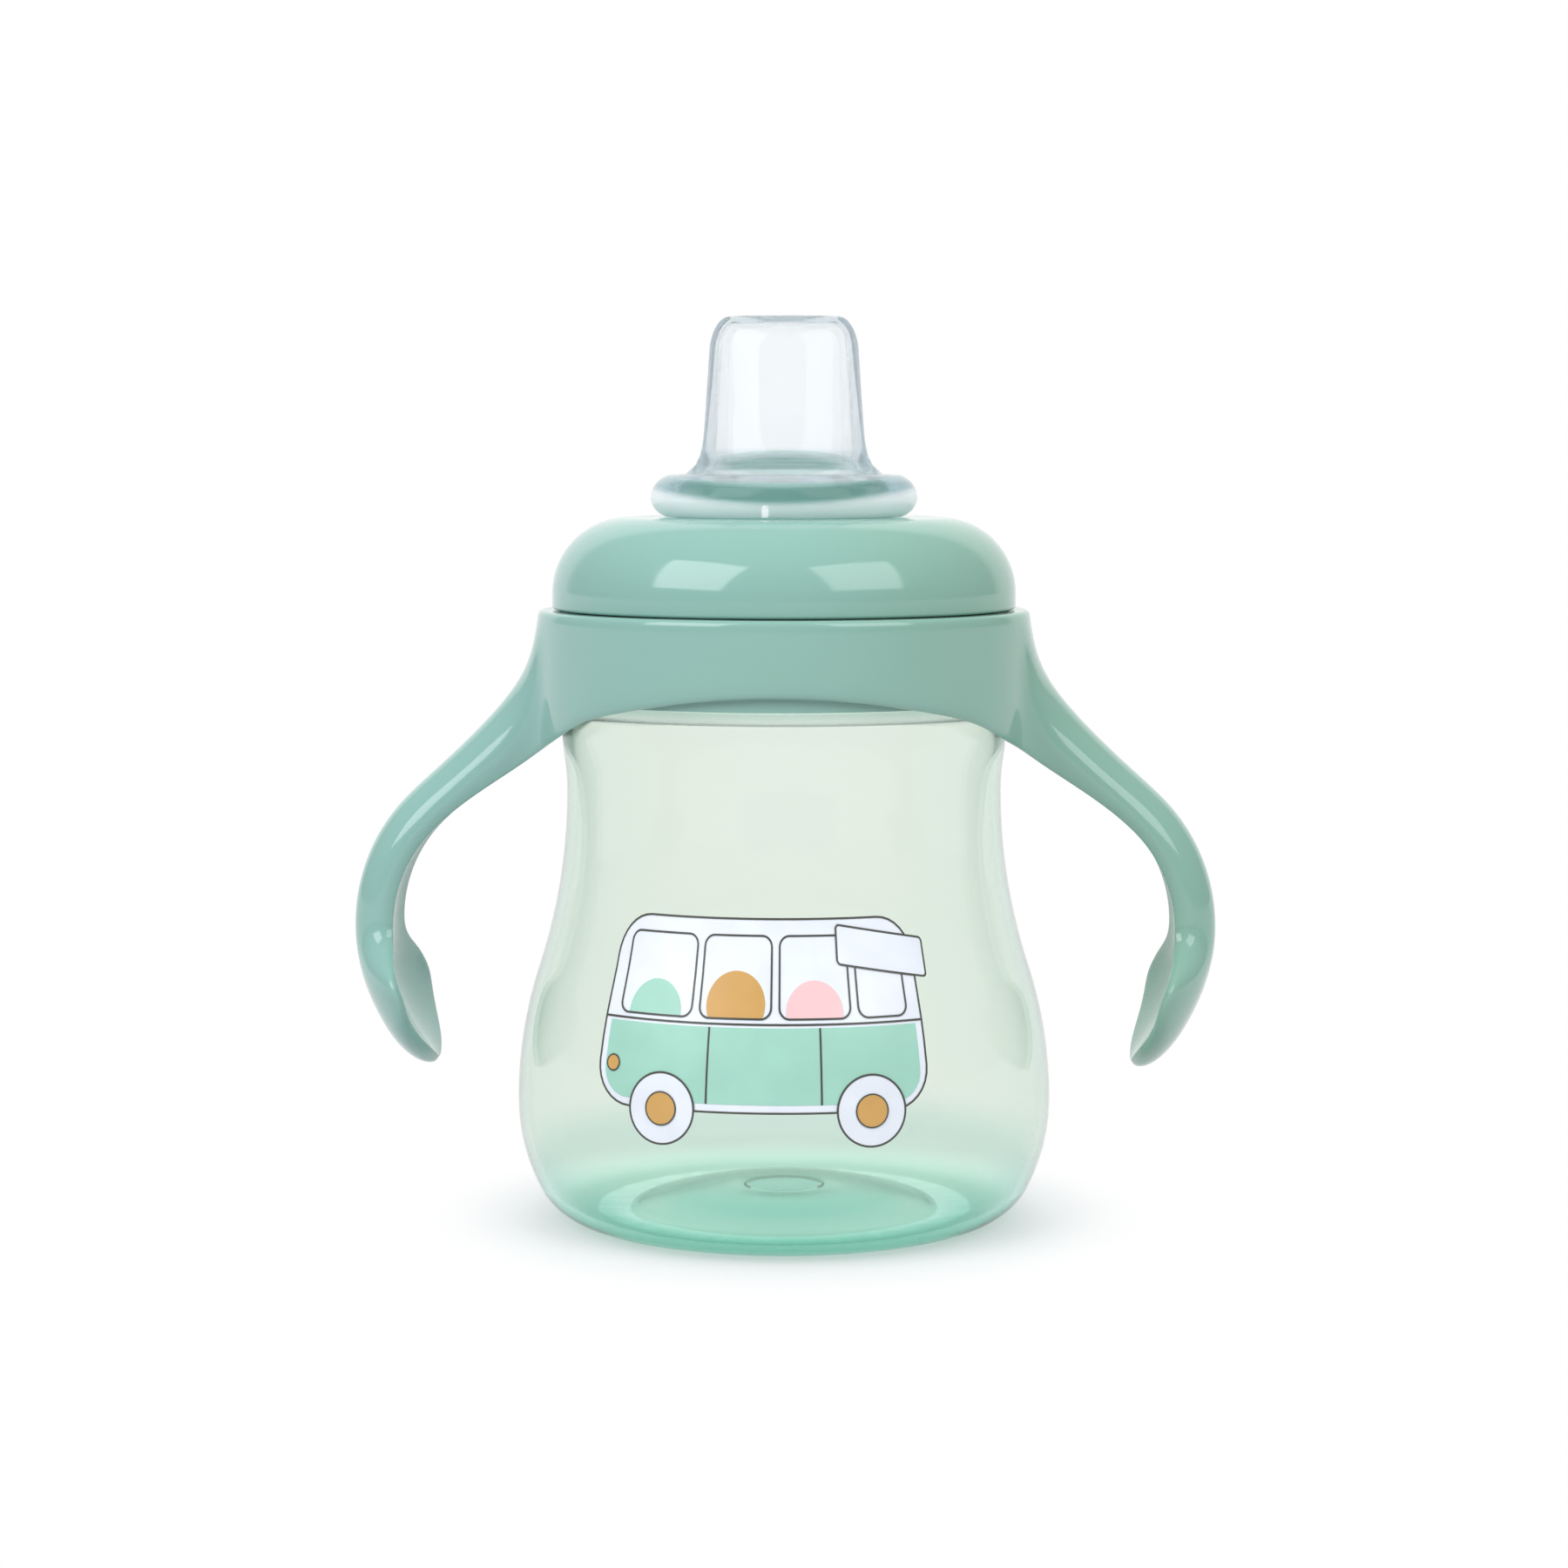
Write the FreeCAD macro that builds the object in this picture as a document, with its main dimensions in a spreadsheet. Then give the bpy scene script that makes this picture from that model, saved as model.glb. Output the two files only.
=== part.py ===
"""Training cup with two handles: bottle, handle ring, screw collar and soft spout.

Millimetres, +Z up, origin on the cup's axis in the plane of its foot. The handles lie along X.
"""
import FreeCAD, Part
import math
import os
import re
import Sketcher
from FreeCAD import Placement, Rotation, Vector

# ---------------------------------------------------------------- driving sizes
SIZES = [
    # bottle
    ("foot_inner", 21.7, "inner radius of the flat foot ring"),
    ("base_corner", 9.0, "corner radius from the foot into the belly"),
    ("belly_radius", 37.6, "widest radius"),
    ("belly_height", 17.0, "height of the widest place"),
    ("belly_curve", 26.5, "radius of the outline under the widest place"),
    ("flank_curve", 60.0, "radius of the outline above the widest place"),
    ("waist_step", 0.7, "how far the shoulder stands out past the narrowest place"),
    ("shoulder_rise", 9.0, "height of the shoulder's edge above the narrowest place"),
    ("shoulder_length", 3.7, "upright part of the shoulder under the ledge"),
    ("shoulder_round", 0.8, "edge of the ledge"),
    ("ledge_height", 73.7, "height of the ledge that carries the handle ring"),
    ("bottle_wall", 1.4, "wall of the bottle's body"),
    ("neck_radius", 27.0, "outer radius of the neck, without its thread"),
    ("neck_wall", 1.7, "wall of the neck"),
    ("neck_length", 19.5, "height of the neck's rim above the ledge"),
    ("pushup_height", 3.7, "rise of the hollow under the base"),
    ("pushup_disc", 5.7, "radius of the gate disc in that hollow"),
    ("pushup_step", 0.5, "depth of the gate disc"),
    ("pushup_curve", 42.0, "radius of the hollow's outline"),
    # thread between the neck and the collar
    ("thread_lead", 6.0, "rise of the thread in one turn"),
    ("thread_turns", 1.3, "turns of each thread"),
    ("thread_margin", 0.35, "height of the collar's thread above the skirt's lower edge"),
    ("thread_depth", 1.1, "how far each thread stands out"),
    ("thread_root", 2.2, "width of each thread at its root"),
    ("thread_crest", 1.2, "width of each thread at its crest"),
    ("thread_gap", 0.35, "clearance of the threads, across and along the axis"),
    # handle ring
    ("seat_gap", 0.2, "clearance above and below the ring's flange"),
    ("flange_thick", 2.0, "thickness of the ring's inward flange"),
    ("flange_gap", 0.5, "clearance between the flange and the neck"),
    ("flange_rebate", 1.3, "how far the flange runs under the ring's wall"),
    ("ring_height", 12.2, "height of the ring above the underside of its flange"),
    ("ring_wall", 2.9, "wall of the ring"),
    ("ring_gap", 0.5, "clearance between the ring and the collar's skirt"),
    ("ring_edge", 0.8, "round on the ring's top edge"),
    ("shoulder_gap", 0.4, "clearance between the ring and the bottle's shoulder"),
    ("arch_rise", 1.9, "height of the arch's crown above the underside of the flange"),
    ("arch_radius", 92.0, "radius of the arch along the ring's lower edge"),
    # handles
    ("grip_across", 35.0, "distance of the grip's centre of curvature from the axis"),
    ("grip_drop", 32.2, "distance of the grip's centre of curvature below the ledge"),
    ("grip_radius", 26.0, "radius of the grip's outer line"),
    ("grip_start", 55.0, "angle above level where the grip's arc starts"),
    ("grip_thick", 5.4, "thickness of the grip in the plane of the handles"),
    ("grip_width", 12.6, "width of the grip"),
    ("grip_crown", 1.0, "bend of the grip's section"),
    ("root_width", 16.4, "width of the handle where it leaves the ring"),
    ("root_drop", 1.6, "distance of the handle's upper root below the ring's top"),
    ("palm_start", 3.0, "angle below level where the palm rest starts to widen"),
    ("palm_full", 20.0, "angle below level where the palm rest is full"),
    ("palm_end", 27.0, "angle below level where the palm rest starts to narrow"),
    ("palm_tip", 54.0, "angle below level of the handle's tip"),
    ("palm_width", 30.0, "width of the palm rest"),
    ("palm_thick", 3.6, "thickness of the palm rest"),
    ("palm_bend", 3.7, "depth of the palm rest's hollow"),
    # collar
    ("skirt_wall", 2.65, "wall of the collar's skirt"),
    ("dome_gap", 0.6, "gap between the ring's top and the dome"),
    ("dome_step", 2.05, "how far the ring stands out past the dome"),
    ("dome_corner", 10.6, "radius of the dome's shoulder"),
    ("dome_edge", 0.4, "round on the dome's lower edge"),
    ("crown_thick", 3.45, "thickness of the collar above the seal"),
    ("bore_headroom", 0.7, "height of the collar's bore above the rim"),
    ("lip_inner", 13.2, "inner radius of the lip that holds the spout"),
    ("lip_wall", 1.8, "wall of that lip"),
    ("lip_height", 4.3, "height of that lip above the dome"),
    # spout
    ("fit_gap", 0.15, "clearance between the spout and the collar"),
    ("seal_thick", 2.0, "thickness of the spout's sealing flange"),
    ("seal_inset", 0.8, "how far the sealing flange stays inside the neck's radius"),
    ("throat_wall", 1.85, "wall of the spout where it passes the collar"),
    ("bead_wall", 1.55, "wall of the bead's foot round the lip"),
    ("bead_bulge", 2.0, "how far the bead stands out past its foot"),
    ("bead_low", 2.6, "height of the bead's widest place above the dome"),
    ("bead_high", 5.9, "height of the bead's upper edge above the dome"),
    ("bead_curve_low", 3.2, "radius of the bead under its widest place"),
    ("bead_curve_high", 3.6, "radius of the bead above its widest place"),
    ("bead_inset", 2.5, "distance of the bead's upper edge inside its widest place"),
    ("spout_height", 27.9, "height of the spout above the dome"),
    ("spout_wall", 1.8, "wall of the spout"),
    ("spout_crown", 1.4, "thickness of the spout's top"),
    ("spout_half_low", 11.6, "half width of the spout at its foot"),
    ("spout_half_high", 10.1, "half width of the spout under its rounded top"),
    ("spout_deep_low", 9.6, "half depth of the spout at its foot"),
    ("spout_deep_high", 6.3, "half depth of the spout under its rounded top"),
    ("spout_flare", 3.0, "how far the spout's foot spreads sideways"),
    ("spout_flare_deep", 4.4, "how far the spout's foot spreads forwards"),
    ("spout_flare_reach", 1.4, "height over which that spread fades"),
    ("spout_round", 2.5, "inward round of the spout's top"),
    ("spout_round_reach", 4.6, "height of that round"),
    ("slit_length", 6.0, "length of the drinking slit"),
    ("slit_width", 0.8, "width of the drinking slit"),
    ("vent_width", 1.3, "width of the vent notch in the bead's foot"),
    ("vent_height", 1.6, "height of the vent notch"),
    ("vent_depth", 0.7, "depth of the vent notch"),
]

# ---------------------------------------------------------------- sizes that follow from them
DERIVED = {
    "shoulder_start": "ledge_height - shoulder_length",
    "waist_height": "shoulder_start - shoulder_rise",
    "waist_radius": "shoulder_radius - waist_step",
    "rim_height": "ledge_height + neck_length",
    "belly_sine": "(belly_height - base_corner) / (belly_curve - base_corner)",
    "belly_cosine": "sqrt(1 - belly_sine ^ 2)",
    "foot_outer": "belly_radius - belly_curve + (belly_curve - base_corner) * belly_cosine",
    "waist_depth": "belly_radius - waist_radius",
    "waist_rise": "waist_height - belly_height",
    "flank_sum": "(waist_depth ^ 2 + waist_rise ^ 2) / (2 * waist_depth)",
    "waist_curve": "flank_sum - flank_curve",
    "neck_inner": "neck_radius - neck_wall",
    "bore_radius": "neck_radius + thread_depth + thread_gap",
    "skirt_radius": "bore_radius + skirt_wall",
    "ring_inner": "skirt_radius + ring_gap",
    "ring_radius": "ring_inner + ring_wall",
    "shoulder_radius": "ring_inner - shoulder_gap",
    "shoulder_curve": "(waist_step ^ 2 + shoulder_rise ^ 2) / (4 * waist_step)",
    "flange_low": "ledge_height + seat_gap",
    "flange_high": "flange_low + flange_thick",
    "ring_top": "flange_low + ring_height",
    "arch_crown": "flange_low + arch_rise",
    "skirt_low": "flange_high + seat_gap",
    "seal_low": "rim_height + fit_gap",
    "seal_high": "seal_low + seal_thick",
    "ceiling": "seal_high + fit_gap",
    "seal_radius": "neck_radius - seal_inset",
    "dome_top": "ceiling + crown_thick",
    "dome_radius": "ring_radius - dome_step",
    "dome_low": "ring_top + dome_gap",
    "dome_round": "min(dome_corner; dome_top - dome_low - 2 * dome_edge)",
    "lip_outer": "lip_inner + lip_wall",
    "lip_top": "dome_top + lip_height",
    "bead_bottom": "dome_top + fit_gap",
    "bead_top": "dome_top + bead_high",
    "spout_foot": "bead_top - 0.3",
    "spout_top": "dome_top + spout_height",
    "throat_radius": "lip_inner - fit_gap - throat_wall",
    "bead_foot": "lip_outer + fit_gap + bead_wall",
    "bead_radius": "bead_foot + bead_bulge",
    "bead_shoulder": "bead_radius - bead_inset",
    "collar_thread_low": "skirt_low + thread_root / 2 + thread_margin",
    "thread_low": "collar_thread_low + (thread_root + thread_crest) / 2 + thread_gap",
    "grip_height": "ledge_height - grip_drop",
}

doc = FreeCAD.newDocument("training_cup")
sheet = doc.addObject("Spreadsheet::Sheet", "Sizes")
for row, (alias, size, meaning) in enumerate(SIZES, 1):
    sheet.set(f"A{row}", alias)
    sheet.set(f"B{row}", str(size))
    sheet.setAlias(f"B{row}", alias)
    sheet.set(f"C{row}", meaning)
doc.recompute()

ALIASES = {alias for alias, size, meaning in SIZES}
WORD = re.compile(r"[a-z][a-z_]*")


def formula(text):
    """Write a formula in the sheet's aliases alone, in the form the document reads."""
    def swap(match):
        word = match.group(0)
        if word in DERIVED:
            return "(" + formula(DERIVED[word]) + ")"
        return "Sizes." + word if word in ALIASES else word
    return WORD.sub(swap, text)


def number(text):
    """The present value of a formula."""
    return float(sheet.evalExpression(formula(text)))


def bind(thing, sizes):
    """Tie properties of a document object to formulas."""
    for place, text in sizes.items():
        thing.setExpression(place, formula(text))


# ---------------------------------------------------------------- outlines and turned bodies
LEFT = 1
RIGHT = -1


def arc_edge(start, end, radius, turn):
    """A circular arc under half a turn from start to end, bending to the left or to the right."""
    chord = end - start
    side = Vector(-chord.y, chord.x, 0).normalize() * turn
    centre = (start + end) * 0.5 + side * math.sqrt(radius ** 2 - (chord.Length / 2) ** 2)
    first, last = (start, end) if turn == LEFT else (end, start)
    circle = Part.Circle(centre, Vector(0, 0, 1), radius)
    return Part.ArcOfCircle(circle, circle.parameter(first), circle.parameter(last))


def tie_point(sketch, edge, place, axis, text):
    """Hold one coordinate of an edge's end at a formula."""
    if text == "0":
        sketch.addConstraint(Sketcher.Constraint("PointOnObject", edge, place, -2 if axis == "X" else -1))
        return
    held = sketch.addConstraint(
        Sketcher.Constraint("Distance" + axis, -1, 1, edge, place, number(text)))
    name = f"{'across' if axis == 'X' else 'up'}_{edge}"
    sketch.renameConstraint(held, name)
    sketch.setExpression("Constraints." + name, formula(text))


def outline(sketch, corners):
    """Draw a closed outline. A corner is (across, up) or (across, up, radius, turn), where the
    last two make the edge that follows it an arc."""
    places = [Vector(number(corner[0]), number(corner[1]), 0) for corner in corners]
    count = len(corners)
    starts = []
    for edge, corner in enumerate(corners):
        start, end = places[edge], places[(edge + 1) % count]
        if len(corner) == 2:
            sketch.addGeometry(Part.LineSegment(start, end))
            starts.append(1)
        else:
            sketch.addGeometry(arc_edge(start, end, number(corner[2]), corner[3]))
            starts.append(1 if corner[3] == LEFT else 2)
    for edge, corner in enumerate(corners):
        follower = (edge + 1) % count
        sketch.addConstraint(
            Sketcher.Constraint("Coincident", edge, 3 - starts[edge], follower, starts[follower]))
    for edge, corner in enumerate(corners):
        tie_point(sketch, edge, starts[edge], "X", corner[0])
        tie_point(sketch, edge, starts[edge], "Y", corner[1])
        if len(corner) == 4:
            held = sketch.addConstraint(Sketcher.Constraint("Radius", edge, number(corner[2])))
            sketch.renameConstraint(held, f"radius_{edge}")
            sketch.setExpression(f"Constraints.radius_{edge}", formula(corner[2]))


def turned_body(name, corners):
    """A body turned about the cup's axis from an outline in the XZ plane."""
    body = doc.addObject("PartDesign::Body", name)
    sketch = body.newObject("Sketcher::SketchObject", name + "_outline")
    plane = next(o for o in body.Origin.OriginFeatures if o.Role == "XZ_Plane")
    sketch.AttachmentSupport = [(plane, "")]
    sketch.MapMode = "FlatFace"
    outline(sketch, corners)
    doc.recompute()
    turned = body.newObject("PartDesign::Revolution", name + "_turned")
    turned.Profile = sketch
    turned.ReferenceAxis = (sketch, ["V_Axis"])
    turned.Angle = 360
    body.Tip = turned
    doc.recompute()
    return body


def thread(name, low, radius, sink, rise):
    """A ridge of trapezoid section on a helix; rise is its height, outwards when positive."""
    helix = doc.addObject("Part::Helix", name + "_helix")
    bind(helix, {"Radius": radius, "Pitch": "thread_lead", "Height": "thread_lead * thread_turns",
                 "Placement.Base.z": low})
    section = doc.addObject("Sketcher::SketchObject", name + "_section")
    section.Placement = Placement(Vector(0, 0, 0), Rotation(Vector(1, 0, 0), 90))
    outline(section, [
        (f"{radius} - {sink}", f"{low} - thread_root / 2"),
        (f"{radius} + {rise}", f"{low} - thread_crest / 2"),
        (f"{radius} + {rise}", f"{low} + thread_crest / 2"),
        (f"{radius} - {sink}", f"{low} + thread_root / 2")])
    doc.recompute()
    ridge = doc.addObject("Part::Sweep", name)
    ridge.Sections = [section]
    ridge.Spine = (helix, ["Edge1"])
    ridge.Solid = True
    ridge.Frenet = True
    return ridge


def fused(name, pieces):
    """One moulding made of several pieces."""
    whole = doc.addObject("Part::MultiFuse", name)
    whole.Shapes = pieces
    whole.Refine = False
    return whole


def cut(name, base, tool):
    """base without tool."""
    rest = doc.addObject("Part::Cut", name)
    rest.Base = base
    rest.Tool = tool
    return rest


def cylinder(name, radius, height, low="0"):
    """An upright cylinder on the cup's axis."""
    drum = doc.addObject("Part::Cylinder", name)
    bind(drum, {"Radius": radius, "Height": height, "Placement.Base.z": low})
    return drum


# ---------------------------------------------------------------- bottle
def flank_joint(wall):
    """Where the belly's curve meets the waist's curve, a wall inside the outer face."""
    share = f"(flank_curve - {wall}) / flank_sum"
    return (f"belly_radius - flank_curve + (flank_sum - waist_depth) * {share}",
            f"belly_height + waist_rise * {share}")


def shoulder_joint(wall):
    """Where the waist's curve meets the shoulder's curve, a wall inside the outer face."""
    share = f"(shoulder_curve - {wall}) / (2 * shoulder_curve)"
    return (f"shoulder_radius - shoulder_curve + (2 * shoulder_curve - waist_step) * {share}",
            f"shoulder_start - shoulder_rise * {share}")


def belly_joint(wall):
    """Where the base's corner meets the belly's lower curve."""
    return (f"belly_radius - belly_curve + (belly_curve - {wall}) * belly_cosine",
            f"belly_height - (belly_curve - {wall}) * belly_sine")


def make_bottle():
    """Blow-moulded bottle with a pushed-up base, a waist, a ledge and a threaded neck."""
    wall = "bottle_wall"
    shell = turned_body("bottle_shell", [
        ("0", "pushup_height"),
        ("pushup_disc", "pushup_height"),
        ("pushup_disc", "pushup_height - pushup_step", "pushup_curve", RIGHT),
        ("foot_inner", "0"),
        ("foot_outer", "0", "base_corner", LEFT),
        (*belly_joint("0"), "belly_curve", LEFT),
        ("belly_radius", "belly_height", "flank_curve", LEFT),
        (*flank_joint("0"), "waist_curve", RIGHT),
        ("waist_radius", "waist_height", "shoulder_curve", RIGHT),
        (*shoulder_joint("0"), "shoulder_curve", LEFT),
        ("shoulder_radius", "shoulder_start"),
        ("shoulder_radius", "ledge_height - shoulder_round", "shoulder_round", LEFT),
        ("shoulder_radius - shoulder_round", "ledge_height"),
        ("neck_radius", "ledge_height"),
        ("neck_radius", "rim_height - neck_wall / 4", "neck_wall / 4", LEFT),
        ("neck_radius - neck_wall / 4", "rim_height"),
        ("neck_inner + neck_wall / 4", "rim_height", "neck_wall / 4", LEFT),
        ("neck_inner", "rim_height - neck_wall / 4"),
        ("neck_inner", f"ledge_height - {wall}"),
        (f"shoulder_radius - {wall} - shoulder_round", f"ledge_height - {wall}", "shoulder_round", RIGHT),
        (f"shoulder_radius - {wall}", f"ledge_height - {wall} - shoulder_round"),
        (f"shoulder_radius - {wall}", "shoulder_start", f"shoulder_curve - {wall}", RIGHT),
        (*shoulder_joint(wall), f"shoulder_curve + {wall}", LEFT),
        (f"waist_radius - {wall}", "waist_height", f"waist_curve + {wall}", LEFT),
        (*flank_joint(wall), f"flank_curve - {wall}", RIGHT),
        (f"belly_radius - {wall}", "belly_height", f"belly_curve - {wall}", RIGHT),
        (*belly_joint(wall), f"base_corner - {wall}", RIGHT),
        ("foot_outer", wall),
        ("foot_inner", wall, f"pushup_curve + {wall}", LEFT),
        ("pushup_disc", f"pushup_height - pushup_step + {wall}"),
        ("0", f"pushup_height - pushup_step + {wall}")])
    ridge = thread("neck_thread", "thread_low", "neck_radius", "neck_wall / 4", "thread_depth")
    return fused("bottle", [shell, ridge])


# ---------------------------------------------------------------- handle ring
SECTION_POINTS = 24
OUTER_POWER = 2.2      # a section's outer half is nearly an ellipse
INNER_POWER = 4.0      # its inner half is flat, with tight edges
FLARE_STATIONS = 4
GRIP_STATIONS = 5
PALM_STATIONS = 4
TIP_STATIONS = 6
TIP_END = 0.9945       # the skin ends in a flat of under a millimetre, this share of the way to the tip
TIP_TAPER = 0.75       # how pointed the palm rest's end is
BEND_TAPER = 1.2       # how soon its hollow fades
UPPER_LINE = (Vector(0.25, 0, -0.97), 0.9, 0.76)    # way out of the ring, then the pull at each end
LOWER_LINE = (Vector(0.8, 0, -0.6), 0.8, 0.8)


def smooth_step(share):
    """0 to 1 with level ends."""
    share = min(max(share, 0.0), 1.0)
    return share * share * (3 - 2 * share)


def section_points(outer, inner, half_width, bend):
    """Points round a section between a point on the handle's outer line and one on its inner line.
    Its outer side is round, its inner side flat, and bend curls its edges inwards."""
    depth = inner - outer
    thick = depth.Length
    depth.normalize()
    points = []
    for index in range(SECTION_POINTS):
        angle = 2 * math.pi * index / SECTION_POINTS
        power = 2 / (INNER_POWER if math.sin(angle) > 0 else OUTER_POWER)
        across = math.copysign(abs(math.cos(angle)) ** power, math.cos(angle))
        along = math.copysign(abs(math.sin(angle)) ** power, math.sin(angle))
        inwards = thick / 2 * (1 + along) + bend * across ** 2
        points.append(outer + depth * inwards + Vector(0, half_width * across, 0))
    return points


def spline_through(points, parameters, periodic):
    """The cubic spline through points at the given parameters."""
    curve = Part.BSplineCurve()
    curve.interpolate(Points=points, Parameters=parameters, PeriodicFlag=periodic)
    return curve


def skinned_solid(sections):
    """A solid whose skin runs smoothly through closed sections, flat at both ends."""
    around = list(range(SECTION_POINTS + 1))
    rings = [spline_through(section, around, True) for section in sections]
    middles = [sum(section, Vector()) * (1 / SECTION_POINTS) for section in sections]
    lengths = [0.0]
    for before, after in zip(middles, middles[1:]):
        lengths.append(lengths[-1] + (after - before).Length)
    columns = zip(*[ring.getPoles() for ring in rings])
    lines = [spline_through(list(column), lengths, False) for column in columns]
    skin = Part.BSplineSurface()
    skin.buildFromPolesMultsKnots(
        [line.getPoles() for line in lines],
        rings[0].getMultiplicities(), lines[0].getMultiplicities(),
        rings[0].getKnots(), lines[0].getKnots(), True, False, rings[0].Degree, lines[0].Degree)
    knots = skin.getVKnots()
    ends = [Part.Face(Part.Wire([skin.vIso(knot).toShape()])) for knot in (knots[0], knots[-1])]
    shell = Part.makeShell([skin.toShape(), *ends])
    shell.sewShape()
    solid = Part.Solid(shell)
    if solid.Volume < 0:
        solid.reverse()
    return solid


def flare_point(root, end, end_way, line, share):
    """A point on the cubic from the ring's wall to the start of the grip's arc."""
    root_way, root_pull, end_pull = line
    span = (end - root).Length
    rest = 1 - share
    return (root * (rest * rest * (1 + 2 * share)) + root_way * (span * root_pull * rest * rest * share)
            + end * (share * share * (3 - 2 * share)) - end_way * (span * end_pull * share * share * rest))


def handle_arm():
    """The right-hand handle, from inside the ring's wall to its tip."""
    value = {alias: number(alias) for alias in ALIASES}
    ring_inner = number("ring_inner")
    ring_wall = value["ring_wall"]
    centre = Vector(value["grip_across"], 0, number("grip_height"))

    def on_grip(angle, depth):
        """A point at an angle above level, a depth inside the grip's outer line."""
        turn = math.radians(angle)
        reach = value["grip_radius"] - depth
        return centre + Vector(reach * math.cos(turn), 0, reach * math.sin(turn))

    def along_grip(angle):
        """The grip's downward direction at an angle above level."""
        turn = math.radians(angle)
        return Vector(math.sin(turn), 0, -math.cos(turn))

    root_across = ring_inner + ring_wall / 3
    arch_drop = value["arch_radius"] - math.sqrt(value["arch_radius"] ** 2 - root_across ** 2)
    outer_root = Vector(root_across, 0, number("ring_top") - value["root_drop"])
    inner_root = Vector(root_across, 0, number("arch_crown") - arch_drop)
    outer_end = on_grip(value["grip_start"], 0)
    inner_end = on_grip(value["grip_start"], value["grip_thick"])
    down = along_grip(value["grip_start"])

    sections = []
    for index in range(FLARE_STATIONS):
        share = index / FLARE_STATIONS
        outer = flare_point(outer_root, outer_end, down, UPPER_LINE, share)
        inner = flare_point(inner_root, inner_end, down, LOWER_LINE, share)
        width = value["root_width"] + (value["grip_width"] - value["root_width"]) * smooth_step(share)
        sections.append(section_points(outer, inner, width / 2, value["grip_crown"] * share))

    angles = [value["grip_start"] - (value["grip_start"] + value["palm_start"]) * index / GRIP_STATIONS
              for index in range(GRIP_STATIONS + 1)]
    angles += [-value["palm_start"] - (value["palm_end"] - value["palm_start"]) * index / PALM_STATIONS
               for index in range(1, PALM_STATIONS + 1)]
    taper = [math.sin(math.pi / 2 * index / TIP_STATIONS) for index in range(1, TIP_STATIONS)] + [TIP_END]
    angles += [-value["palm_end"] - (value["palm_tip"] - value["palm_end"]) * share for share in taper]
    for angle in angles:
        spread = smooth_step((-angle - value["palm_start"]) / (value["palm_full"] - value["palm_start"]))
        thick = value["grip_thick"] + (value["palm_thick"] - value["grip_thick"]) * spread
        width = value["grip_width"] + (value["palm_width"] - value["grip_width"]) * spread
        bend = value["grip_crown"] + (value["palm_bend"] - value["grip_crown"]) * spread
        past = max(0.0, (-angle - value["palm_end"]) / (value["palm_tip"] - value["palm_end"]))
        width *= (1 - past ** 2) ** TIP_TAPER
        bend *= (1 - past) ** BEND_TAPER
        half = thick / 2 * math.sqrt(1 - past ** 4)
        sections.append(section_points(on_grip(angle, thick / 2 - half), on_grip(angle, thick / 2 + half),
                                       width / 2, bend))
    return skinned_solid(sections)


def make_handle_ring():
    """One moulding: a ring with an arched lower edge, an inward flange and two handles."""
    wall = turned_body("ring_wall_body", [
        ("ring_inner", "arch_crown - ring_height"),
        ("ring_radius", "arch_crown - ring_height"),
        ("ring_radius", "ring_top - ring_edge", "ring_edge", LEFT),
        ("ring_radius - ring_edge", "ring_top"),
        ("ring_inner", "ring_top")])
    arch = doc.addObject("Part::Cylinder", "arch")
    bind(arch, {"Radius": "arch_radius", "Height": "4 * ring_radius",
                "Placement.Base.y": "2 * ring_radius",
                "Placement.Base.z": "arch_crown - arch_radius"})
    arch.Placement = Placement(arch.Placement.Base, Rotation(Vector(1, 0, 0), 90))
    arched = cut("ring_arched", wall, arch)
    flange = cut("ring_flange",
                 cylinder("flange_disc", "ring_inner + flange_rebate", "flange_thick", "flange_low"),
                 cylinder("flange_hole", "neck_radius + flange_gap", "2 * ring_height", "ledge_height"))
    arms = []
    for side, turn in (("right", 0), ("left", 180)):
        arm = doc.addObject("Part::Feature", f"handle_{side}")
        arm.Shape = handle_arm()
        arm.Placement = Placement(Vector(0, 0, 0), Rotation(Vector(0, 0, 1), turn))
        arms.append(arm)
    return fused("handle_ring", [arched, flange, *arms])


# ---------------------------------------------------------------- screw collar
def make_collar():
    """Domed collar with a skirt inside the ring, an inside thread and a lip that holds the spout."""
    shell = turned_body("collar_shell", [
        ("lip_inner", "ceiling"),
        ("seal_radius + 2 * fit_gap", "ceiling"),
        ("seal_radius + 2 * fit_gap", "rim_height + bore_headroom"),
        ("bore_radius", "rim_height + bore_headroom"),
        ("bore_radius", "skirt_low"),
        ("skirt_radius", "skirt_low"),
        ("skirt_radius", "dome_low"),
        ("dome_radius - dome_edge", "dome_low", "dome_edge", LEFT),
        ("dome_radius", "dome_low + dome_edge"),
        ("dome_radius", "dome_top - dome_round", "dome_round", LEFT),
        ("dome_radius - dome_round", "dome_top"),
        ("lip_outer", "dome_top"),
        ("lip_outer", "lip_top - lip_wall / 3", "lip_wall / 3", LEFT),
        ("lip_outer - lip_wall / 3", "lip_top"),
        ("lip_inner + lip_wall / 3", "lip_top", "lip_wall / 3", LEFT),
        ("lip_inner", "lip_top - lip_wall / 3")])
    ridge = thread("collar_thread", "collar_thread_low", "bore_radius", "(0 - skirt_wall / 4)",
                   "(0 - thread_depth)")
    return fused("screw_collar", [shell, ridge])


# ---------------------------------------------------------------- soft spout
SPOUT_STATIONS = 12


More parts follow.
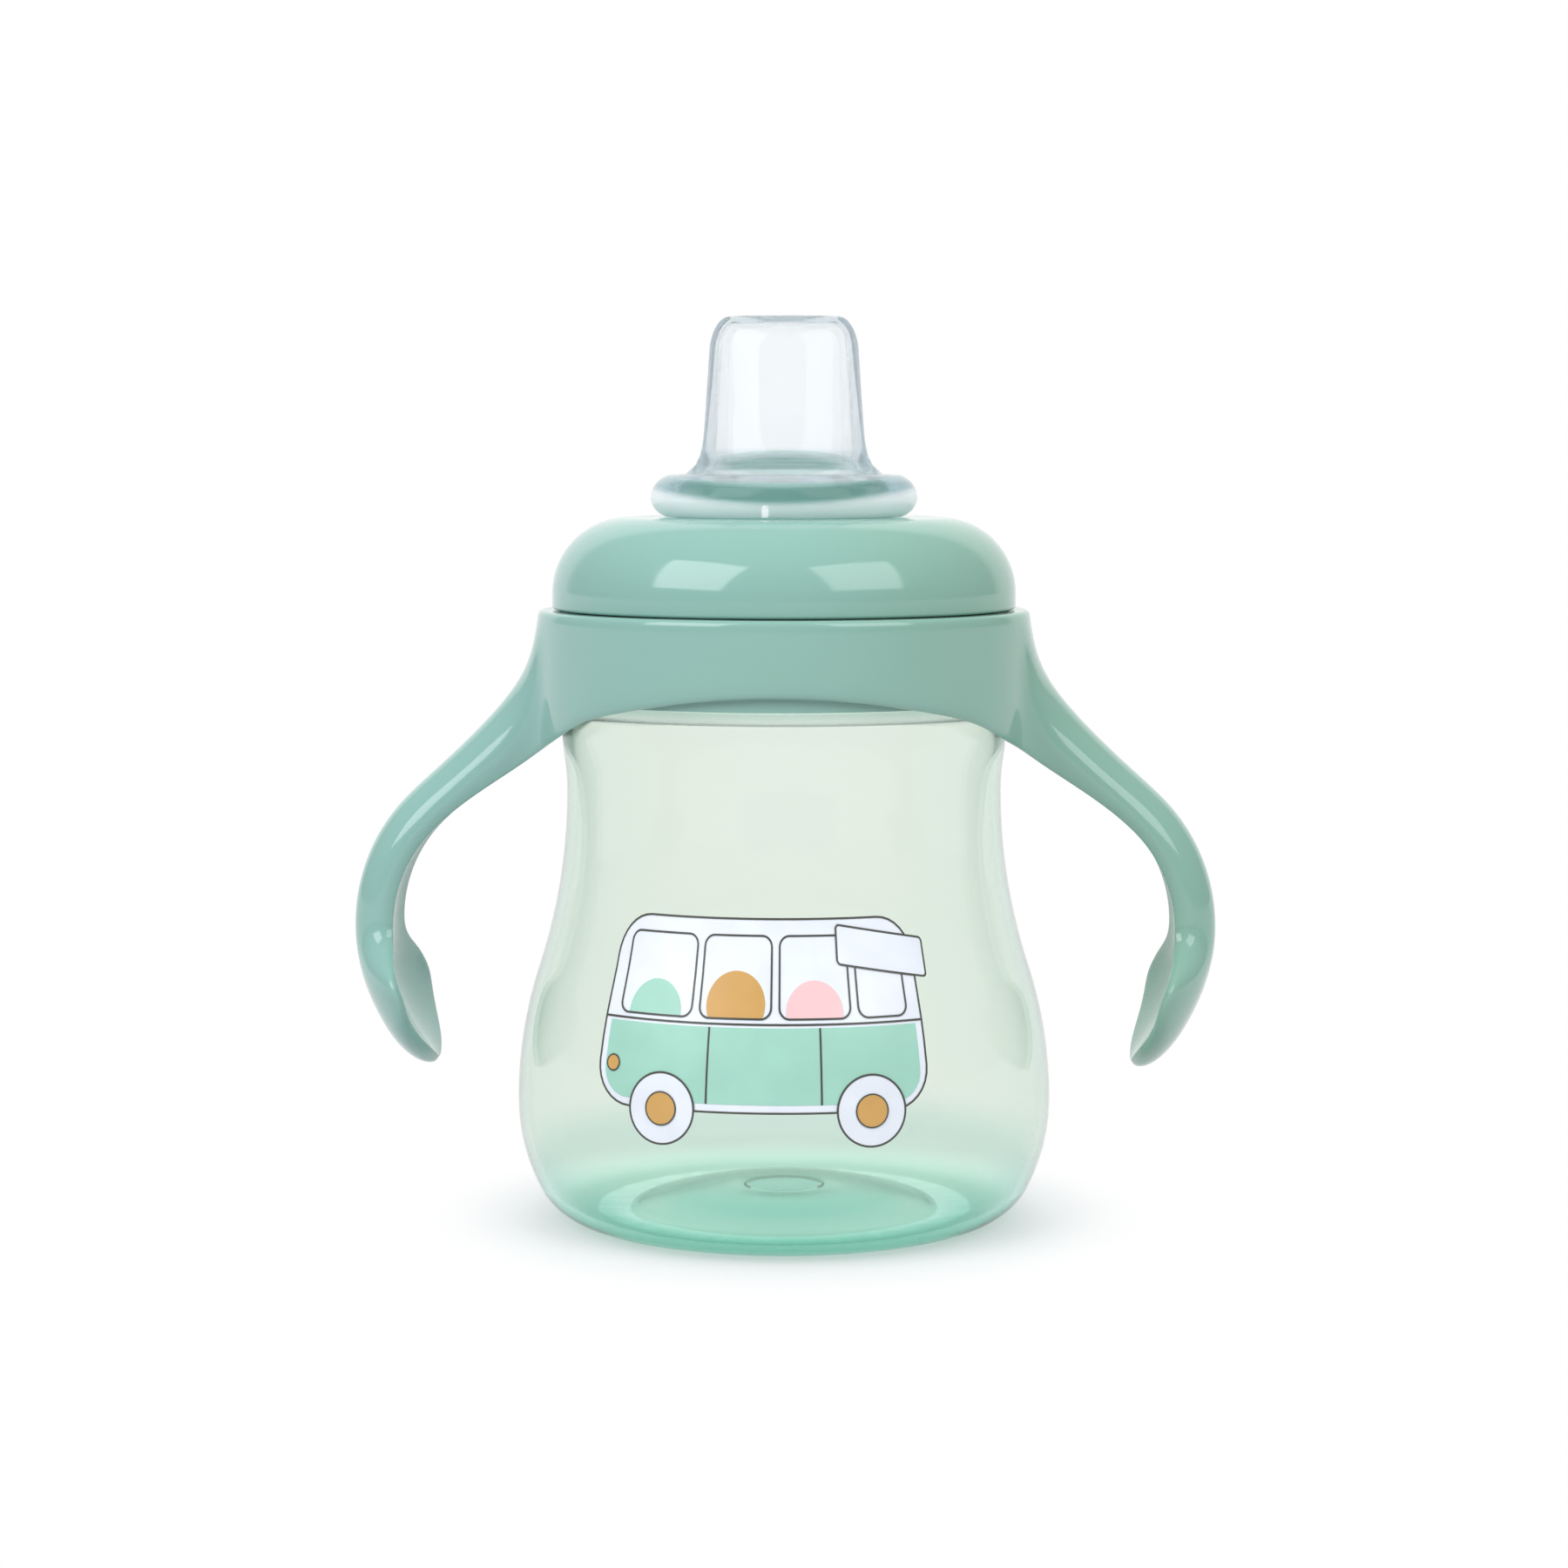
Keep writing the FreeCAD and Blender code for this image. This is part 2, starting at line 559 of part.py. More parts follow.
def spout_size(low, high, flare, height, inset):
    """Formula for the spout's half size at a height, an inset inside its outer face."""
    share = f"({height} - spout_foot) / (spout_top - spout_foot)"
    rounding = f"max(0; ({height} - spout_top + spout_round_reach) / spout_round_reach)"
    return (f"{low} + ({high} - {low}) * {share}"
            f" + {flare} * exp((spout_foot - {height}) / spout_flare_reach)"
            f" - spout_round * (1 - sqrt(max(0; 1 - {rounding} ^ 2))) - {inset}")


def spout_loft(name, inset, drop):
    """The spout's outer form, or its cavity: oval sections from the bead to the top."""
    sections = []
    for index in range(SPOUT_STATIONS + 1):
        share = math.sin(math.pi / 2 * index / SPOUT_STATIONS)
        height = f"(spout_foot + (spout_top - spout_foot) * {share:.4f})"
        oval = doc.addObject("Part::Ellipse", f"{name}_section_{index}")
        bind(oval, {
            "MajorRadius": spout_size("spout_half_low", "spout_half_high", "spout_flare", height, inset),
            "MinorRadius": spout_size("spout_deep_low", "spout_deep_high", "spout_flare_deep", height, inset),
            "Placement.Base.z": f"{height} - {drop}"})
        sections.append(oval)
    form = doc.addObject("Part::Loft", name)
    form.Sections = sections
    form.Solid = True
    form.Ruled = False
    return form


def make_spout():
    """One soft moulding: sealing flange, groove over the collar's lip, bead, oval spout and slit."""
    foot = turned_body("spout_base", [
        ("throat_radius", "seal_low"),
        ("seal_radius", "seal_low"),
        ("seal_radius", "seal_high"),
        ("lip_inner - fit_gap", "seal_high"),
        ("lip_inner - fit_gap", "lip_top + fit_gap"),
        ("lip_outer + fit_gap", "lip_top + fit_gap"),
        ("lip_outer + fit_gap", "bead_bottom"),
        ("bead_foot", "bead_bottom", "bead_curve_low", LEFT),
        ("bead_radius", "dome_top + bead_low", "bead_curve_high", LEFT),
        ("bead_shoulder", "bead_top"),
        ("throat_radius", "bead_top + (bead_shoulder - throat_radius) / 4")])
    outer = spout_loft("spout_outer", "0", "0")
    cavity = spout_loft("spout_cavity", "spout_wall", "spout_crown")
    slit = doc.addObject("Part::Box", "slit")
    bind(slit, {"Length": "slit_length", "Width": "slit_width", "Height": "4 * spout_crown",
                "Placement.Base.x": "0 - slit_length / 2", "Placement.Base.y": "0 - slit_width / 2",
                "Placement.Base.z": "spout_top - 2 * spout_crown"})
    vent = doc.addObject("Part::Box", "vent")
    bind(vent, {"Length": "vent_width", "Width": "bead_radius", "Height": "vent_height + fit_gap",
                "Placement.Base.x": "0 - vent_width / 2",
                "Placement.Base.y": "vent_depth - 2 * bead_radius", "Placement.Base.z": "dome_top"})
    hollow = fused("spout_hollow", [cavity, slit, vent])
    return cut("silicone_spout", fused("spout_solid", [foot, outer]), hollow)


# ---------------------------------------------------------------- build, check and write
nodes = [make_bottle(), make_handle_ring(), make_collar(), make_spout()]
doc.recompute()

for thing in doc.Objects:
    if "Invalid" in thing.State or "Error" in thing.State:
        raise RuntimeError(f"{thing.Label} failed: {thing.State}")

os.makedirs("parts", exist_ok=True)
for node in nodes:
    shape = node.Shape
    if shape.isNull() or not shape.isValid():
        raise RuntimeError(f"{node.Label} has no valid shape")
    if len(shape.Solids) != 1:
        raise RuntimeError(f"{node.Label} has {len(shape.Solids)} solids instead of one")
for node in nodes:
    node.Shape.exportStep(f"parts/{node.Label}.step")
    box = node.Shape.BoundBox
    print(f"{node.Label}: {node.Shape.Volume / 1000:.2f} cm3, "
          f"x {box.XMin:.2f} {box.XMax:.2f}, y {box.YMin:.2f} {box.YMax:.2f}, "
          f"z {box.ZMin:.2f} {box.ZMax:.2f}")
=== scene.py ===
"""Looks of a training cup: a tinted clear bottle, a ring with two handles, a screw collar and a
soft clear spout, with a printed toy bus on the bottle. Sizes are in millimetres until a mesh is
placed; Blender's own unit here is the metre."""

import math

import bmesh
import bpy
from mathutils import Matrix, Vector


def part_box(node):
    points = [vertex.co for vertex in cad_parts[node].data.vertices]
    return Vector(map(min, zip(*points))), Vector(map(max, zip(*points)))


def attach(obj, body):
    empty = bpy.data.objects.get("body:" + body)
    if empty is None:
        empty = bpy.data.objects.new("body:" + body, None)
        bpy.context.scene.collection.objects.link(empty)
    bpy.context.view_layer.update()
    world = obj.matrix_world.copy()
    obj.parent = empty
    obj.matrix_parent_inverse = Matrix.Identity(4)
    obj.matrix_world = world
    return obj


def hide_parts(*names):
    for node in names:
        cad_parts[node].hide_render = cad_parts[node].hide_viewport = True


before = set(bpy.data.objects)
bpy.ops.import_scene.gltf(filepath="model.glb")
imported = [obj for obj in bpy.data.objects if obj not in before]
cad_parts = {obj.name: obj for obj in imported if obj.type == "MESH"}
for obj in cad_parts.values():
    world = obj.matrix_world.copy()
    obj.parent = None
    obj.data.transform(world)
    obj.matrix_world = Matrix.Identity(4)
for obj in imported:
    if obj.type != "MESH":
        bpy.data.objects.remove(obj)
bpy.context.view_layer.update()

MM = 0.001


def corner_of(node):
    """The highest corner of a CAD node, in millimetres."""
    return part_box(node)[1] / MM


# ---------------------------------------------------------------- sizes
BELLY_RADIUS = corner_of("bottle").x
RIM_HEIGHT = corner_of("bottle").z
RING_TOP = corner_of("handle_ring").z
DOME_RADIUS = corner_of("screw_collar").x
LIP_TOP = corner_of("screw_collar").z
SEAL_RADIUS = corner_of("silicone_spout").x
SPOUT_TOP = corner_of("silicone_spout").z

# bottle
LEDGE = RIM_HEIGHT - 19.5
WALL = 1.4
FOOT_INNER = 21.7
BASE_CORNER = 9.0
BELLY_HEIGHT = 17.0
BELLY_CURVE = 26.5
FLANK_CURVE = 60.0
WAIST_RADIUS = 30.5
WAIST_HEIGHT = LEDGE - 12.7
SHOULDER_RADIUS = 31.2
SHOULDER_START = LEDGE - 3.7
NECK_RADIUS = 27.0
NECK_WALL = 1.7
PUSHUP_HEIGHT = 3.7
PUSHUP_DISC = 5.7
PUSHUP_STEP = 0.5

# threads
THREAD_LEAD = 6.0
THREAD_TURNS = 1.3
THREAD_DEPTH = 1.1
THREAD_ROOT = 2.2
THREAD_CREST = 1.2
NECK_THREAD_LOW = LEDGE + 5.9
COLLAR_THREAD_LOW = LEDGE + 3.85

# handle ring
RING_RADIUS = DOME_RADIUS + 2.05
RING_WALL = 2.9
RING_INNER = RING_RADIUS - RING_WALL
FLANGE_LOW = RING_TOP - 12.2
FLANGE_HIGH = FLANGE_LOW + 2.0
FLANGE_HOLE = NECK_RADIUS + 0.5
FLANGE_REACH = RING_INNER + 1.3
ARCH_CROWN = FLANGE_LOW + 1.9
ARCH_RADIUS = 92.0
GRIP_ACROSS = corner_of("handle_ring").x - 26.0
GRIP_HEIGHT = LEDGE - 32.2
GRIP_RADIUS = 26.0

# collar
BORE_RADIUS = 28.45
SKIRT_RADIUS = RING_INNER - 0.5
SKIRT_LOW = FLANGE_HIGH + 0.2
DOME_LOW = RING_TOP + 0.15
DOME_TOP = LIP_TOP - 4.3
DOME_CORNER = 10.6
CEILING = DOME_TOP - 3.45
LIP_INNER = 13.2
LIP_OUTER = 15.0

# spout
SEAL_LOW = RIM_HEIGHT + 0.15
SEAL_HIGH = SEAL_LOW + 2.0
THROAT_RADIUS = 11.2
BEAD_FOOT = 16.7
BEAD_RADIUS = 18.7
BEAD_HEIGHT = DOME_TOP + 2.6
BEAD_SHOULDER = 16.2
BEAD_TOP = DOME_TOP + 5.9
SPOUT_FOOT = BEAD_TOP - 0.3
SPOUT_WALL = 1.8
SPOUT_CROWN = 1.4
SPOUT_WIDE = (11.6, 10.1)        # half width at the foot and the top
SPOUT_DEEP = (9.6, 6.3)          # half depth at the foot and the top
SPOUT_FLARE = (3.0, 4.4)         # how far the foot spreads, across and in depth
SPOUT_CORNER = (4.6, 2.5)        # height and width of the round top edge
CAVITY_CORNER = (2.4, 1.5)
SLIT_HALF = (3.0, 0.4)


# ---------------------------------------------------------------- hand tools
def deselect():
    """Nothing selected."""
    bpy.ops.object.select_all(action="DESELECT")


def pick(*pieces):
    """Select these pieces alone; the last one is active."""
    deselect()
    for piece in pieces:
        piece.select_set(True)
    bpy.context.view_layer.objects.active = pieces[-1]


def edit(piece):
    """Go into edit mode with nothing selected."""
    pick(piece)
    bpy.ops.object.mode_set(mode="EDIT")
    bpy.ops.mesh.select_all(action="DESELECT")


def leave_edit():
    """Back to object mode."""
    bpy.ops.object.mode_set(mode="OBJECT")


def settle(piece):
    """Put a piece's place into its mesh."""
    pick(piece)
    bpy.ops.object.transform_apply(location=True, rotation=True, scale=True)


def modified(piece, kind, **settings):
    """Add a modifier to a piece and apply it."""
    pick(piece)
    modifier = piece.modifiers.new(kind.title(), kind)
    for key, value in settings.items():
        setattr(modifier, key, value)
    bpy.ops.object.modifier_apply(modifier=modifier.name)
    return piece


def joined(name, pieces):
    """Several pieces made one."""
    pick(*pieces)
    bpy.ops.object.join()
    whole = bpy.context.object
    whole.name = whole.data.name = name
    return whole


def smooth(piece, angle=35):
    """Shade a piece smooth, but for edges sharper than this angle."""
    pick(piece)
    bpy.ops.object.shade_smooth_by_angle(angle=math.radians(angle))


def arc(across, up, radius, start, end, step=5.0):
    """Points on an arc round (across, up), from one angle to another in degrees, ends included."""
    count = max(2, math.ceil(abs(end - start) / step))
    angles = [math.radians(start + (end - start) * index / count) for index in range(count + 1)]
    return [(across + radius * math.cos(a), up + radius * math.sin(a)) for a in angles]


def ring_stack(name, rings, sides, closed):
    """A skin drawn up through oval rings of (half width, half depth, height): a loop of edges is
    extruded and scaled from one ring to the next. A closed skin ends where it began; an open one
    is filled at both ends."""
    deselect()
    width, depth, height = rings[0]
    bpy.ops.mesh.primitive_circle_add(vertices=sides, radius=1, location=(0, 0, height * MM))
    piece = bpy.context.object
    piece.name = piece.data.name = name
    piece.scale = (width * MM, depth * MM, 1)
    settle(piece)
    edit(piece)
    bpy.ops.mesh.select_all(action="SELECT")
    if not closed:
        bpy.ops.mesh.edge_face_add()
        bpy.ops.mesh.select_mode(type="EDGE")
        bpy.ops.mesh.region_to_loop()
    for wide, deep, high in rings[1:]:
        bpy.ops.mesh.extrude_edges_move(TRANSFORM_OT_translate={"value": (0, 0, (high - height) * MM)})
        bpy.ops.transform.resize(value=(wide / width, deep / depth, 1), center_override=(0, 0, high * MM))
        width, depth, height = wide, deep, high
    if closed:
        bpy.ops.mesh.select_all(action="SELECT")
        bpy.ops.mesh.remove_doubles(threshold=1e-7)
    else:
        bpy.ops.mesh.edge_face_add()
    bpy.ops.mesh.select_all(action="SELECT")
    bpy.ops.mesh.normals_make_consistent(inside=False)
    bpy.ops.mesh.select_mode(type="VERT")
    leave_edit()
    return piece


def turned(name, outline, sides=128, closed=True):
    """A round piece from an outline of (radius, height)."""
    rings = [(radius, radius, height) for radius, height in outline]
    return ring_stack(name, rings + rings[:1] if closed else rings, sides, closed)


def thread(name, low, radius, sink, rise):
    """A ridge of trapezoid section on a helix, with flat ends."""
    deselect()
    bpy.ops.mesh.primitive_plane_add(size=1)
    piece = bpy.context.object
    piece.name = piece.data.name = name
    section = [(radius - sink, -THREAD_ROOT / 2), (radius + rise, -THREAD_CREST / 2),
               (radius - sink, THREAD_ROOT / 2), (radius + rise, THREAD_CREST / 2)]
    for vertex, (across, up) in zip(piece.data.vertices, section):
        vertex.co = Vector((across, 0, low + up)) * MM
    edit(piece)
    bpy.ops.mesh.select_all(action="SELECT")
    bpy.ops.mesh.delete(type="ONLY_FACE")
    leave_edit()
    modified(piece, "SCREW", axis="Z", angle=2 * math.pi * THREAD_TURNS, use_merge_vertices=False,
             screw_offset=THREAD_LEAD * THREAD_TURNS * MM, steps=96, render_steps=96)
    edit(piece)
    bpy.ops.mesh.select_non_manifold()
    bpy.ops.mesh.fill_holes(sides=4)
    bpy.ops.mesh.select_all(action="SELECT")
    bpy.ops.mesh.normals_make_consistent(inside=False)
    leave_edit()
    return piece


# ---------------------------------------------------------------- bottle
def bottle_arcs():
    """Angles and radii of the arcs that make the bottle's side."""
    belly_angle = math.degrees(math.asin((BELLY_HEIGHT - BASE_CORNER) / (BELLY_CURVE - BASE_CORNER)))
    depth = BELLY_RADIUS - WAIST_RADIUS
    rise = WAIST_HEIGHT - BELLY_HEIGHT
    curves = (depth ** 2 + rise ** 2) / (2 * depth)
    flank_angle = math.degrees(math.asin(rise / curves))
    step = SHOULDER_RADIUS - WAIST_RADIUS
    shoulder_rise = SHOULDER_START - WAIST_HEIGHT
    shoulder_curve = (step ** 2 + shoulder_rise ** 2) / (4 * step)
    shoulder_angle = math.degrees(math.asin(shoulder_rise / (2 * shoulder_curve)))
    return belly_angle, flank_angle, curves - FLANK_CURVE, shoulder_curve, shoulder_angle


def bottle_side(inset):
    """The bottle's side from the foot to the shoulder's edge, an inset inside the outer face."""
    belly_angle, flank_angle, waist_curve, shoulder_curve, shoulder_angle = bottle_arcs()
    foot = BELLY_RADIUS - BELLY_CURVE + (BELLY_CURVE - BASE_CORNER) * math.cos(math.radians(belly_angle))
    waist_centre = WAIST_RADIUS + waist_curve
    shoulder_centre = WAIST_RADIUS + shoulder_curve
    return (arc(foot, BASE_CORNER, BASE_CORNER - inset, -90, -belly_angle)
            + arc(BELLY_RADIUS - BELLY_CURVE, BELLY_HEIGHT, BELLY_CURVE - inset, -belly_angle, 0)[1:]
            + arc(BELLY_RADIUS - FLANK_CURVE, BELLY_HEIGHT, FLANK_CURVE - inset, 0, flank_angle, 1.5)[1:]
            + arc(waist_centre, WAIST_HEIGHT, waist_curve + inset, 180 + flank_angle, 180, 1.5)[1:]
            + arc(shoulder_centre, WAIST_HEIGHT, shoulder_curve + inset, 180, 180 - shoulder_angle, 3)[1:]
            + arc(SHOULDER_RADIUS - shoulder_curve, SHOULDER_START, shoulder_curve - inset,
                  -shoulder_angle, 0, 3)[1:])


def make_bottle():
    """Blown bottle: pushed-up base, belly, waist, ledge and threaded neck, all one wall."""
    pushup_rise = PUSHUP_HEIGHT - PUSHUP_STEP
    hollow = [(radius, pushup_rise * (1 - ((radius - PUSHUP_DISC) / (FOOT_INNER - PUSHUP_DISC)) ** 2))
              for radius in [PUSHUP_DISC + (FOOT_INNER - PUSHUP_DISC) * step / 12 for step in range(13)]]
    outside = (
        [(0.5, PUSHUP_HEIGHT), (PUSHUP_DISC - 0.2, PUSHUP_HEIGHT)]
        + hollow + bottle_side(0)
        + arc(SHOULDER_RADIUS - 0.8, LEDGE - 0.8, 0.8, 0, 90, 15)
        + arc(NECK_RADIUS + 0.4, LEDGE + 0.4, 0.4, 270, 180, 30)
        + arc(NECK_RADIUS - 0.4, RIM_HEIGHT - 0.4, 0.4, 0, 90, 30))
    inside = (
        arc(NECK_RADIUS - NECK_WALL + 0.4, RIM_HEIGHT - 0.4, 0.4, 90, 180, 30)
        + arc(NECK_RADIUS - NECK_WALL - 0.8, LEDGE - WALL + 0.8, 0.8, 0, -90, 30)[:1]
        + arc(SHOULDER_RADIUS - WALL - 0.8, LEDGE - WALL - 0.8, 0.8, 90, 0, 15)
        + bottle_side(WALL)[::-1]
        + [(radius, height + WALL) for radius, height in hollow[::-1]]
        + [(0.5, pushup_rise + WALL)])
    shell = turned("bottle_shell", outside + inside, closed=False)
    ridge = thread("neck_thread", NECK_THREAD_LOW, NECK_RADIUS, NECK_WALL / 4, THREAD_DEPTH)
    return joined("cup_bottle", [ridge, shell])


# ---------------------------------------------------------------- screw collar
def make_collar():
    """Domed collar: skirt, inside thread, dome and the lip that the spout is stretched over."""
    shell = turned("collar_shell", (
        [(LIP_INNER, CEILING), (SEAL_RADIUS + 0.3, CEILING), (SEAL_RADIUS + 0.3, RIM_HEIGHT + 0.7),
         (BORE_RADIUS, RIM_HEIGHT + 0.7), (BORE_RADIUS, SKIRT_LOW + 0.3), (BORE_RADIUS + 0.3, SKIRT_LOW),
         (SKIRT_RADIUS - 0.3, SKIRT_LOW), (SKIRT_RADIUS, SKIRT_LOW + 0.3), (SKIRT_RADIUS, DOME_LOW)]
        + arc(DOME_RADIUS - 0.4, DOME_LOW + 0.4, 0.4, -90, 0, 18)
        + arc(DOME_RADIUS - DOME_CORNER, DOME_TOP - DOME_CORNER, DOME_CORNER, 0, 90, 3)
        + arc(LIP_OUTER + 0.3, DOME_TOP + 0.3, 0.3, 270, 180, 30)
        + arc(LIP_OUTER - 0.6, LIP_TOP - 0.6, 0.6, 0, 90, 18)
        + arc(LIP_INNER + 0.6, LIP_TOP - 0.6, 0.6, 90, 180, 18)))
    ridge = thread("collar_thread", COLLAR_THREAD_LOW, BORE_RADIUS, -0.66, -THREAD_DEPTH)
    return joined("domed_collar", [ridge, shell])


# ---------------------------------------------------------------- handle ring
RING_SIDES = 48
ROOT_COLUMNS = 2         # columns of the ring's faces each side of the handle's middle
CAGE_SWELL = 3 / (2 + math.cos(2 * math.pi / RING_SIDES))     # a round cage shrinks as it smooths
ROOT_MIDDLE, ROOT_HIGH = 9.0, -1.6      # rows of the handle's root, above the ring's foot and top
ROOT_DROP = 2.9          # how far the ring's lower edge sinks on its way into the handles
# the share of a section's depth and half width at which each row holds its columns 0, 1 and 2
SECTION = ({"depth": (0.0, 0.03, 0.30), "width": (0.0, 0.52, 0.90)},
           {"depth": (0.5, 0.5, 0.66), "width": (0.0, 0.5, 1.05)},
           {"depth": (1.0, 1.0, 1.0), "width": (0.0, 0.52, 0.93)})
UPPER_LINE = (Vector((0.25, 0, -0.97)), 0.9, 0.76)            # way out of the ring, then the pull at each end
LOWER_LINE = (Vector((0.8, 0, -0.6)), 0.8, 0.8)


def smooth_step(share):
    """0 to 1 with level ends."""
    share = min(max(share, 0.0), 1.0)
    return share * share * (3 - 2 * share)


def arch_height(across):
    """Height of the ring's lower edge at a distance from the middle."""
    sunk = ROOT_DROP * smooth_step((abs(across) - 25) / 10)
    return ARCH_CROWN - ARCH_RADIUS + math.sqrt(ARCH_RADIUS ** 2 - across ** 2) - sunk


def ring_cage():
    """The ring's wall as a cage of four-sided faces, with an arched lower edge."""
    low, high = arch_height(RING_RADIUS), RING_TOP
    outer, inner = RING_RADIUS * CAGE_SWELL, RING_INNER * CAGE_SWELL
    wall = turned("ring_wall", [
        (outer, low), (outer, low + ROOT_MIDDLE), (outer, high + ROOT_HIGH),
        (outer - 0.05, high), (outer - 1.2, high), (inner + 0.5, high), (inner, high),
        (inner, high - 0.5), (inner, low + ROOT_MIDDLE), (inner, low + 0.5), (inner, low),
        (inner + 0.5, low), (outer - 0.7, low)], sides=RING_SIDES)
    for vertex in wall.data.vertices:
        up = vertex.co.z / MM
        lift = arch_height(vertex.co.x / MM / CAGE_SWELL) - low
        vertex.co.z = (up + lift * (1 - smooth_step((up - low) / (high - low)))) * MM
    return wall


def grip_point(angle, depth):
    """A point at an angle above level, a depth inside the grip's outer line."""
    turn = math.radians(angle)
    reach = GRIP_RADIUS - depth
    return Vector((GRIP_ACROSS + reach * math.cos(turn), 0, GRIP_HEIGHT + reach * math.sin(turn)))


def flare_point(root, end, end_way, line, share):
    """A point on the cubic from the ring's wall to the start of the grip's arc."""
    root_way, root_pull, end_pull = line
    span = (end - root).length
    rest = 1 - share
    return (root * (rest * rest * (1 + 2 * share)) + root_way * (span * root_pull * rest * rest * share)
            + end * (share * share * (3 - 2 * share)) - end_way * (span * end_pull * share * share * rest))


def arm_stations():
    """Sections down the right-hand handle: outer point, inner point, half width and bend."""
    thick, width, crown = 5.4, 12.6, 1.0
    palm_thick, palm_width, palm_bend = 3.6, 30.0, 3.7
    start, spread_from, spread_to, narrow_from, tip = 49.0, -3.0, -20.0, -27.0, -54.0
    across = RING_INNER + RING_WALL / 3
    outer_root = Vector((across, 0, RING_TOP + ROOT_HIGH))
    inner_root = Vector((across, 0, arch_height(across)))
    turn = math.radians(start)
    down = Vector((math.sin(turn), 0, -math.cos(turn)))
    stations = []
    for share in (0.25, 0.5, 0.75):
        outer = flare_point(outer_root, grip_point(start, 0), down, UPPER_LINE, share)
        inner = flare_point(inner_root, grip_point(start, thick), down, LOWER_LINE, share)
        stations.append((outer, inner, (16.4 + (width - 16.4) * smooth_step(share)) / 2, crown * share))
    angles = [start + (spread_from - start) * step / 6 for step in range(7)]
    angles += [spread_from + (narrow_from - spread_from) * step / 4 for step in range(1, 5)]
    angles += [narrow_from + (tip - narrow_from) * share for share in (0.28, 0.54, 0.76, 0.91, 0.985)]
    for angle in angles:
        spread = smooth_step((angle - spread_from) / (spread_to - spread_from))
        past = max(0.0, (angle - narrow_from) / (tip - narrow_from))
        half = (thick + (palm_thick - thick) * spread) / 2 * math.sqrt(1 - past ** 7)
        middle = (thick + (palm_thick - thick) * spread) / 2
        stations.append((grip_point(angle, middle - half), grip_point(angle, middle + half),
                         (width + (palm_width - width) * spread) / 2 * (1 - past ** 2) ** 0.75,
                         (crown + (palm_bend - crown) * spread) * (1 - past) ** 1.2))
    return stations


def grow_arm(wall, side):
    """Draw a handle out of the ring's side: the faces of its root are extruded from one section
    to the next."""
    low, high = arch_height(RING_RADIUS), RING_TOP
    rows = (high + ROOT_HIGH, low + ROOT_MIDDLE, low)
    edit(wall)
    bpy.ops.mesh.select_mode(type="FACE")
    mesh = bmesh.from_edit_mesh(wall.data)
    column = mesh.verts.layers.int.new("column")
    row = mesh.verts.layers.int.new("row")
    step = 2 * math.pi / RING_SIDES
    for face in mesh.faces:
        centre = face.calc_center_median() / MM
        turn = math.atan2(centre.y, centre.x * side)
        face.select_set(abs(turn) < ROOT_COLUMNS * step and rows[2] < centre.z < rows[0]
                        and centre.xy.length > (RING_RADIUS + RING_INNER) / 2)
    for vertex in mesh.verts:
        if vertex.select:
            place = vertex.co / MM
            vertex[column] = round(math.atan2(place.y, place.x * side) / step)
            vertex[row] = min(range(3), key=lambda index: abs(rows[index] - place.z))
    bmesh.update_edit_mesh(wall.data)
    for outer, inner, half_width, bend in arm_stations():
        bpy.ops.mesh.extrude_region()
        mesh = bmesh.from_edit_mesh(wall.data)
        column = mesh.verts.layers.int["column"]
        row = mesh.verts.layers.int["row"]
        for vertex in mesh.verts:
            if vertex.select:
                shape = SECTION[vertex[row]]
                share = shape["width"][abs(vertex[column])]
                place = outer + (inner - outer) * shape["depth"][abs(vertex[column])]
                place += (inner - outer).normalized() * (bend * share ** 2)
                place.x *= side
                place.y = math.copysign(half_width * share, vertex[column])
                vertex.co = place * MM
        bmesh.update_edit_mesh(wall.data)
    leave_edit()


def make_handle_ring():
    """One moulding: a ring with an arched lower edge, an inward flange and two handles."""
    wall = ring_cage()
    for side in (1, -1):
        grow_arm(wall, side)
        for layer in ("column", "row"):
            wall.data.attributes.remove(wall.data.attributes[layer])
    modified(wall, "SUBSURF", levels=2, render_levels=2)
    flange = turned("flange", [(FLANGE_HOLE, FLANGE_LOW), (FLANGE_REACH, FLANGE_LOW),
                               (FLANGE_REACH, FLANGE_HIGH), (FLANGE_HOLE, FLANGE_HIGH)])
    return joined("handle_ring_moulding", [flange, wall])


# ---------------------------------------------------------------- soft spout
def spout_half(ends, flare, height, corner):
    """Half size of the spout at a height: a slight taper, a flared foot and a rounded top."""
    low, high = ends
    round_high, round_in = corner
    share = (height - SPOUT_FOOT) / (SPOUT_TOP - SPOUT_FOOT)
    top = max(0.0, (height - SPOUT_TOP + round_high) / round_high)
    fade_height = 1.4
    return (low + (high - low) * share + flare * math.exp((SPOUT_FOOT - height) / fade_height)
            - round_in * (1 - math.sqrt(max(0.0, 1 - top ** 2))))


def spout_ring(height):
    """The spout's outer oval at a height."""
    return (spout_half(SPOUT_WIDE, SPOUT_FLARE[0], height, SPOUT_CORNER),
            spout_half(SPOUT_DEEP, SPOUT_FLARE[1], height, SPOUT_CORNER), height)


def cavity_ring(height):
    """The cavity's oval at a height of the outer face; its foot spreads to the throat."""
    wide, deep = [spout_half(ends, THROAT_RADIUS - ends[0] + SPOUT_WALL, height, CAVITY_CORNER) - SPOUT_WALL
                  for ends in (SPOUT_WIDE, SPOUT_DEEP)]
    return (wide, deep, height - SPOUT_CROWN)


